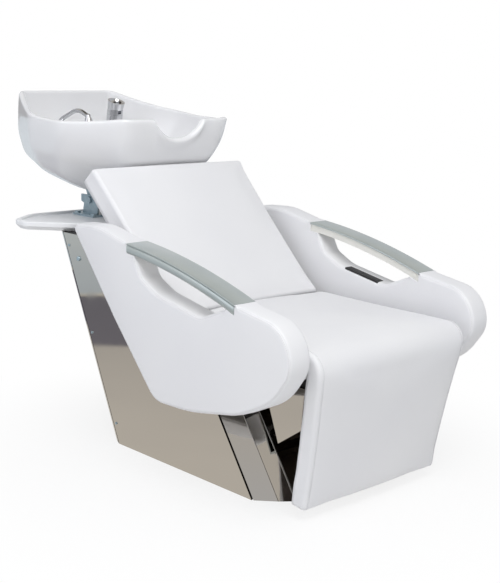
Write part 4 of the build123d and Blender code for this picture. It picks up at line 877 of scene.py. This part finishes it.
def armOutline():
    # The outline, and for each of its points how sharp the edge is: 1 where the panel meets its cap
    length = arm["rear"] - arm["front"]
    height = arm["top"] - arm["bottom"]
    rear, front, rearTop, frontTop, rise, gap, skirt, ledge = cap.values()
    slope = (rearTop - frontTop) / (rear - front)
    bow = 4 * rise / (rear - front)
    rearCut = [
        (rear + gap, rearTop), (rear + gap, rearTop - skirt),
        (rear - ledge, rearTop - skirt - ledge * (slope - bow)),
    ]
    frontCut = [
        (front + ledge, frontTop - skirt + ledge * (slope + bow)), (front - gap, frontTop - skirt),
        (front - gap, frontTop),
    ]

    def placed(shares):
        return [(arm["front"] + a * length, arm["bottom"] + b * height) for a, b, r in shares]

    points = placed(armUpper) + rearCut + placed(armHole) + frontCut + placed(armLower)
    radii = [r * length for a, b, r in armUpper] + [1.5, 0, 3.0] + [r * length for a, b, r in armHole]
    radii += [3.0, 0, 1.5] + [r * length for a, b, r in armLower]
    outline = roundedOutline(points, radii, arm["step"])
    sharp = np.zeros(len(outline))
    for cut in (rearCut, frontCut):
        ends = np.array(cut, float)
        for a, b in zip(ends[:-1], ends[1:]):
            part = np.clip(((outline - a) @ (b - a)) / ((b - a) @ (b - a)), 0, 1)
            away = np.linalg.norm(outline - a - part[:, None] * (b - a), axis=1)
            sharp = np.maximum(sharp, np.clip(1 - (away - 1) / arm["sharpFade"], 0, 1))
    return outline, sharp * sharp * (3 - 2 * sharp)


def armRings(sharp):
    # Each ring's inset and place across the panel, from the outer face over edge and band to the inner one
    radius = arm["edge"] + (arm["tightEdge"] - arm["edge"]) * sharp
    core = arm["core"] + (arm["tightCore"] - arm["core"]) * sharp
    side = [(core, 0 * core)] + [(radius + (core - radius) * share, 0 * core) for share in (0.5, 0.2)]
    for a in (0, 15, 30, 40, 45, 50, 60, 75, 90):
        turn = radians(a)
        side.append((radius * (1 - sin(turn)), radius * (1 - cos(turn))))
    rings = [(inset, armHalf - depth) for inset, depth in side]
    for share in (0.5, 0.0, -0.5):
        swell = -arm["bandRound"] * (1 - abs(share)) * (1 - sharp)
        rings.append((swell, (armHalf - radius) * share))
    rings += [(inset, depth - armHalf) for inset, depth in reversed(side)]
    return rings


def makeArm(side, name, node):
    outline, sharp = armOutline()
    inward = outlineNormals(outline)
    rings = armRings(sharp)
    count, last = len(outline), len(rings) - 1
    points = []
    for inset, offset in rings:
        q = outline + inward * inset[:, None]
        points += [(side * (armMiddle + offset[i]), q[i, 0], q[i, 1]) for i in range(count)]
    faces = [f for k in range(last) for f in ringFaces(count, k * count, (k + 1) * count)]
    for ring, sign in ((arm["seamRing"], 1), (last - arm["seamRing"], -1)):
        for i in range(count):
            x, y, z = points[ring * count + i]
            deep = arm["seamDepth"] * (1 - sharp[i])
            points[ring * count + i] = (x - side * sign * deep, *(np.array((y, z)) + inward[i] * deep))
    core = outline + inward * rings[0][0][:, None]
    netPoints, netFaces, origin = faceNet(core)
    for start, sign in ((0, 1), (last * count, -1)):
        index = {}
        for k, p in enumerate(netPoints):
            ringIndex = [o for o in origin[k] if o < count]
            if ringIndex:
                index[k] = start + ringIndex[0]
                continue
            gap = np.sqrt(((core - np.array(p)) ** 2).sum(1)).min()
            puff = arm["puff"] * (1 - exp(-gap / arm["puffReach"])) * (1.0 if sign > 0 else 0.5)
            index[k] = len(points)
            points.append((side * (armMiddle + sign * (armHalf + puff)), p[0], p[1]))
        faces += [[index[k] for k in f][::-sign] for f in netFaces]
    piece = meshObject(name, points, faces, leatherette)
    piece.data.validate()
    stitchRows = []
    for ring in (arm["stitchRing"], last - arm["stitchRing"]):
        stitchRows += splitRuns([ring * count + i for i in range(count) if sharp[i] < 0.2])
    addStitches(piece, stitchRows)
    fixNormals(piece)
    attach(piece, "base")
    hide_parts(node)


def faceNet(core):
    # An even net of points inside the face's outline, joined into faces
    low, high = core.min(0), core.max(0)
    grid = [
        (y, z) for y in np.arange(low[0] + arm["netEdge"], high[0], arm["net"])
        for z in np.arange(low[1] + arm["netEdge"], high[1], arm["net"])
    ]
    inside = [g for g in grid if insideOutline(g, core, arm["netMargin"])]
    count = len(core)
    flat = [Vector(p) for p in core] + [Vector(g) for g in inside]
    net = delaunay_2d_cdt(flat, [(i, (i + 1) % count) for i in range(count)], [list(range(count))], 1, 1e-4)
    return net[0], net[2], net[3]


def splitRuns(run):
    # Stretches of neighbouring vertices
    parts = [[run[0]]]
    for last, here in zip(run[:-1], run[1:]):
        if here != last + 1:
            parts.append([])
        parts[-1].append(here)
    return [p for p in parts if len(p) > 2]


def insideOutline(point, outline, margin):
    y, z = point
    a, b = outline, np.roll(outline, -1, 0)
    rise = np.where(b[:, 1] == a[:, 1], 1e-9, b[:, 1] - a[:, 1])
    crosses = ((a[:, 1] > z) != (b[:, 1] > z)) & (y < (b[:, 0] - a[:, 0]) * (z - a[:, 1]) / rise + a[:, 0])
    if crosses.sum() % 2 == 0:
        return False
    return float(np.sqrt(((a - np.array(point)) ** 2).sum(1)).min()) > margin


makeArm(-1, "armLeft", "arm_panel_left")
makeArm(1, "armRight", "arm_panel_right")
print("arms done")

# Folds of the front sheet: each bend's rounded outside, in plan at the floor, leaning back as the sheet does
fold = {
    "radius": 2.2, "sunk": 1.5, "lean": 0.6885, "low": 0.5, "height": 299.0, "sides": 10,
    "places": [(-183.0, -319.0), (-150.0, -345.0), (150.0, -345.0), (183.0, -319.0)],
}


def makeFolds():
    count = fold["sides"]
    points, faces = [], []
    for x, y in fold["places"]:
        start = len(points)
        for z in (fold["low"], fold["height"]):
            for k in range(count):
                turn = 2 * pi * k / count
                points.append((
                    x - copysign(fold["sunk"] / 2, x) + fold["radius"] * cos(turn),
                    y + fold["sunk"] + fold["lean"] * z + fold["radius"] * sin(turn), z,
                ))
        faces += ringFaces(count, start, start + count)
        faces += [tuple(range(start, start + count))[::-1], tuple(range(start + count, start + 2 * count))]
    piece = meshObject("frontFolds", points, faces, polished)
    piece.data.set_sharp_from_angle(angle=radians(50))
    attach(piece, "base")


makeFolds()

# Arm caps: a folded strip with a rolled edge and a shadow line between its top and its skirt;
# its profile as distance from the outer side and drop below the top line
capSteps = 64
capProfile = [
    (65.0, 1.6), (64.5, 0.5), (63.2, 0.0), (3.0, 0.0), (1.2, 0.5), (0.3, 1.6), (0.3, 3.0), (0.9, 3.6),
    (2.2, 3.8), (2.2, 5.2), (0.9, 5.4), (0.0, 6.2), (0.0, 21.4), (0.6, 22.7), (1.8, 23.0), (4.0, 23.0),
    (4.8, 22.2), (5.0, 21.0), (5.0, 5.0), (64.0, 5.0), (65.0, 4.2),
]


def makeCap(side, name, node):
    rear, front, rearTop, frontTop, rise = [*cap.values()][:5]
    count = len(capProfile)
    points = []
    for y in np.linspace(front, rear, capSteps):
        t = (y - (rear + front) / 2) / ((rear - front) / 2)
        top = (rearTop + frontTop) / 2 + (rearTop - frontTop) / 2 * t + rise * (1 - t * t)
        points += [(side * (unit["armOuter"] - inset), y, top - drop) for inset, drop in capProfile]
    faces = [f for k in range(capSteps - 1) for f in ringFaces(count, k * count, (k + 1) * count)]
    faces += [tuple(range(count)), tuple(range((capSteps - 1) * count, capSteps * count))[::-1]]
    piece = meshObject(name, points, faces, capPaint)
    fixNormals(piece)
    piece.data.set_sharp_from_angle(angle=radians(50))
    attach(piece, "base")
    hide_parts(node)


makeCap(-1, "capLeft", "arm_cap_left")
makeCap(1, "capRight", "arm_cap_right")
print("caps done")

# Surroundings: pale floor, white backdrop, soft lights, and a darker room that only metal and glaze reflect
studio = {
    "floorSize": 30000.0, "fadeStart": 0.3, "fadeEnd": 1.0, "nearWhite": 0.8, "roomReach": 4.0,
    "unevenness": 0.5, "cloudScale": 3.0, "ambient": 0.5, "roomGlow": 0.8,
}
# Along the floor, as only glossy rays see it: distance in metres from the object, and the glowing tone there,
# a painted reflection of a room
reflectedFloorTones = [
    (0.6, "#dbd6ce"), (1.60, "#c9c5bf"), (1.66, "#7f7d86"), (2.42, "#7b7a83"), (2.45, "#d9d4c8"),
    (2.60, "#c4ced6"), (4.0, "#d4dde2"),
]
# And round the room, by how steeply they look up: pale walls under a dark ceiling with a bright middle
roomTones = [
    (0.0, "#8f8c8a"), (0.10, "#eceef1"), (0.45, "#e2e4e8"), (0.55, "#e6e1d9"), (0.74, "#dcd6cd"),
    (0.80, "#4b433f"), (0.94, "#4b433f"), (0.97, "#e6e8eb"),
]


def makeFloor():
    half = studio["floorSize"] / 2
    corners = [(-half, -half, 0), (half, -half, 0), (half, half, 0), (-half, half, 0)]
    meshObject("floor", corners, [(0, 1, 2, 3)], paintFloor())


def paintFloor():
    # Matt white studio paint; far from the object it fades into the backdrop's white
    paint = makeMaterial("floorPaint", "#f6f6f6", roughness=0.9, specular=0.1)
    tree = paint.node_tree
    place = addNode(tree, "TexCoord").outputs["Object"]
    far = addNode(tree, "VectorMath", {"operation": "LENGTH"}, {"Vector": place}).outputs["Value"]
    path = addNode(tree, "LightPath").outputs
    fade = addNode(tree, "MapRange", {
        "interpolation_type": "SMOOTHSTEP", "From Min": studio["fadeStart"], "From Max": studio["fadeEnd"],
        "To Min": studio["nearWhite"],
    }, {"Value": far}).outputs["Result"]
    seen = addNode(tree, "Math", {"operation": "MULTIPLY"}, {0: fade, 1: path["Is Camera Ray"]})
    white = addNode(tree, "Emission", {"Color": (1, 1, 1, 1)})
    plain = tree.nodes["Principled BSDF"].outputs[0]
    near = addNode(tree, "MixShader", links={0: seen.outputs[0], 1: plain, 2: white.outputs[0]})
    # Glossy rays see a glowing painted reflection instead: the tones along the floor, made uneven by cloud
    # noise
    cloud = addNode(tree, "TexNoise", {"Scale": studio["cloudScale"], "Detail": 1.0}, {"Vector": place})
    uneven = addNode(tree, "Math", {"operation": "MULTIPLY_ADD", 1: studio["unevenness"]}, {
        0: cloud.outputs["Fac"], 2: far,
    })
    reach = addNode(tree, "Math", {"operation": "DIVIDE", 1: studio["roomReach"]}, {0: uneven.outputs[0]})
    stops = [(distance / studio["roomReach"], colour) for distance, colour in reflectedFloorTones]
    tone = addRamp(tree, reach.outputs[0], stops)
    room = addNode(tree, "Emission", links={"Color": tone.outputs["Color"]})
    both = addNode(tree, "MixShader", links={
        0: path["Is Glossy Ray"], 1: near.outputs[0], 2: room.outputs[0],
    })
    tree.links.new(both.outputs[0], tree.nodes["Material Output"].inputs["Surface"])
    return paint


makeFloor()

world = bpy.data.worlds.new("studio")
scene.world = world
world.use_nodes = True
tree = world.node_tree
tree.nodes.clear()
path = addNode(tree, "LightPath").outputs
seen = addNode(tree, "Background", {"Color": (1, 1, 1, 1)})
light = addNode(tree, "Background", {"Color": linear("#eceef2"), "Strength": studio["ambient"]})
place = addNode(tree, "TexCoord").outputs["Generated"]
direction = addNode(tree, "SeparateXYZ", links={0: place})
tone = addRamp(tree, direction.outputs["Z"], roomTones)
room = addNode(tree, "Background", {"Strength": studio["roomGlow"]}, {"Color": tone.outputs["Color"]})
inner = addNode(tree, "MixShader", links={0: path["Is Glossy Ray"], 1: light.outputs[0], 2: room.outputs[0]})
outer = addNode(tree, "MixShader", links={0: path["Is Camera Ray"], 1: inner.outputs[0], 2: seen.outputs[0]})
addNode(tree, "OutputWorld", links={"Surface": outer.outputs[0]})


def softLight(name, size, power, place, target, colour="#ffffff"):
    data = bpy.data.lights.new(name, "AREA")
    data.shape = "RECTANGLE"
    data.size, data.size_y = size
    data.energy = power
    data.color = linear(colour)[:3]
    lamp = newObject(name, data)
    lamp.location = place
    lamp.rotation_euler = (Vector(target) - Vector(place)).to_track_quat("-Z", "Y").to_euler()
    lamp.visible_camera = False


softLight("key", (2.2, 2.2), 73, (-1.2, -1.6, 3.2), (0, 0, 0.4))
softLight("fill", (1.6, 2.0), 12, (-2.6, 0.9, 1.7), (0, 0.1, 0.5), "#f1f3ff")

# Camera: fitted to the photograph's frame, 500 by 583
view = {
    "azimuth": 43.33, "pitch": 12.22, "roll": 1.32, "place": (-1.97565, -2.10008, 1.02375),
    "focal": 1133.49, "centre": (248.37, 304.17), "frame": (500, 583), "sensor": 36.0,
}
a, p, r = (radians(view[k]) for k in ("azimuth", "pitch", "roll"))
forward = Vector((sin(a) * cos(p), cos(a) * cos(p), -sin(p)))
level = Vector((cos(a), -sin(a), 0))
upright = level.cross(forward)
right = level * cos(r) + upright * sin(r)
up = upright * cos(r) - level * sin(r)
data = bpy.data.cameras.new("photo")
data.sensor_fit = "HORIZONTAL"
data.sensor_width = view["sensor"]
wide, tall = view["frame"]
data.lens = view["focal"] / wide * view["sensor"]
data.shift_x = (wide / 2 - view["centre"][0]) / wide
data.shift_y = (view["centre"][1] - tall / 2) / wide
camera = newObject("photo", data)
camera.matrix_world = Matrix.Translation(view["place"]) @ Matrix((right, up, -forward)).transposed().to_4x4()
scene.camera = camera
scene.view_settings.view_transform = "Standard"
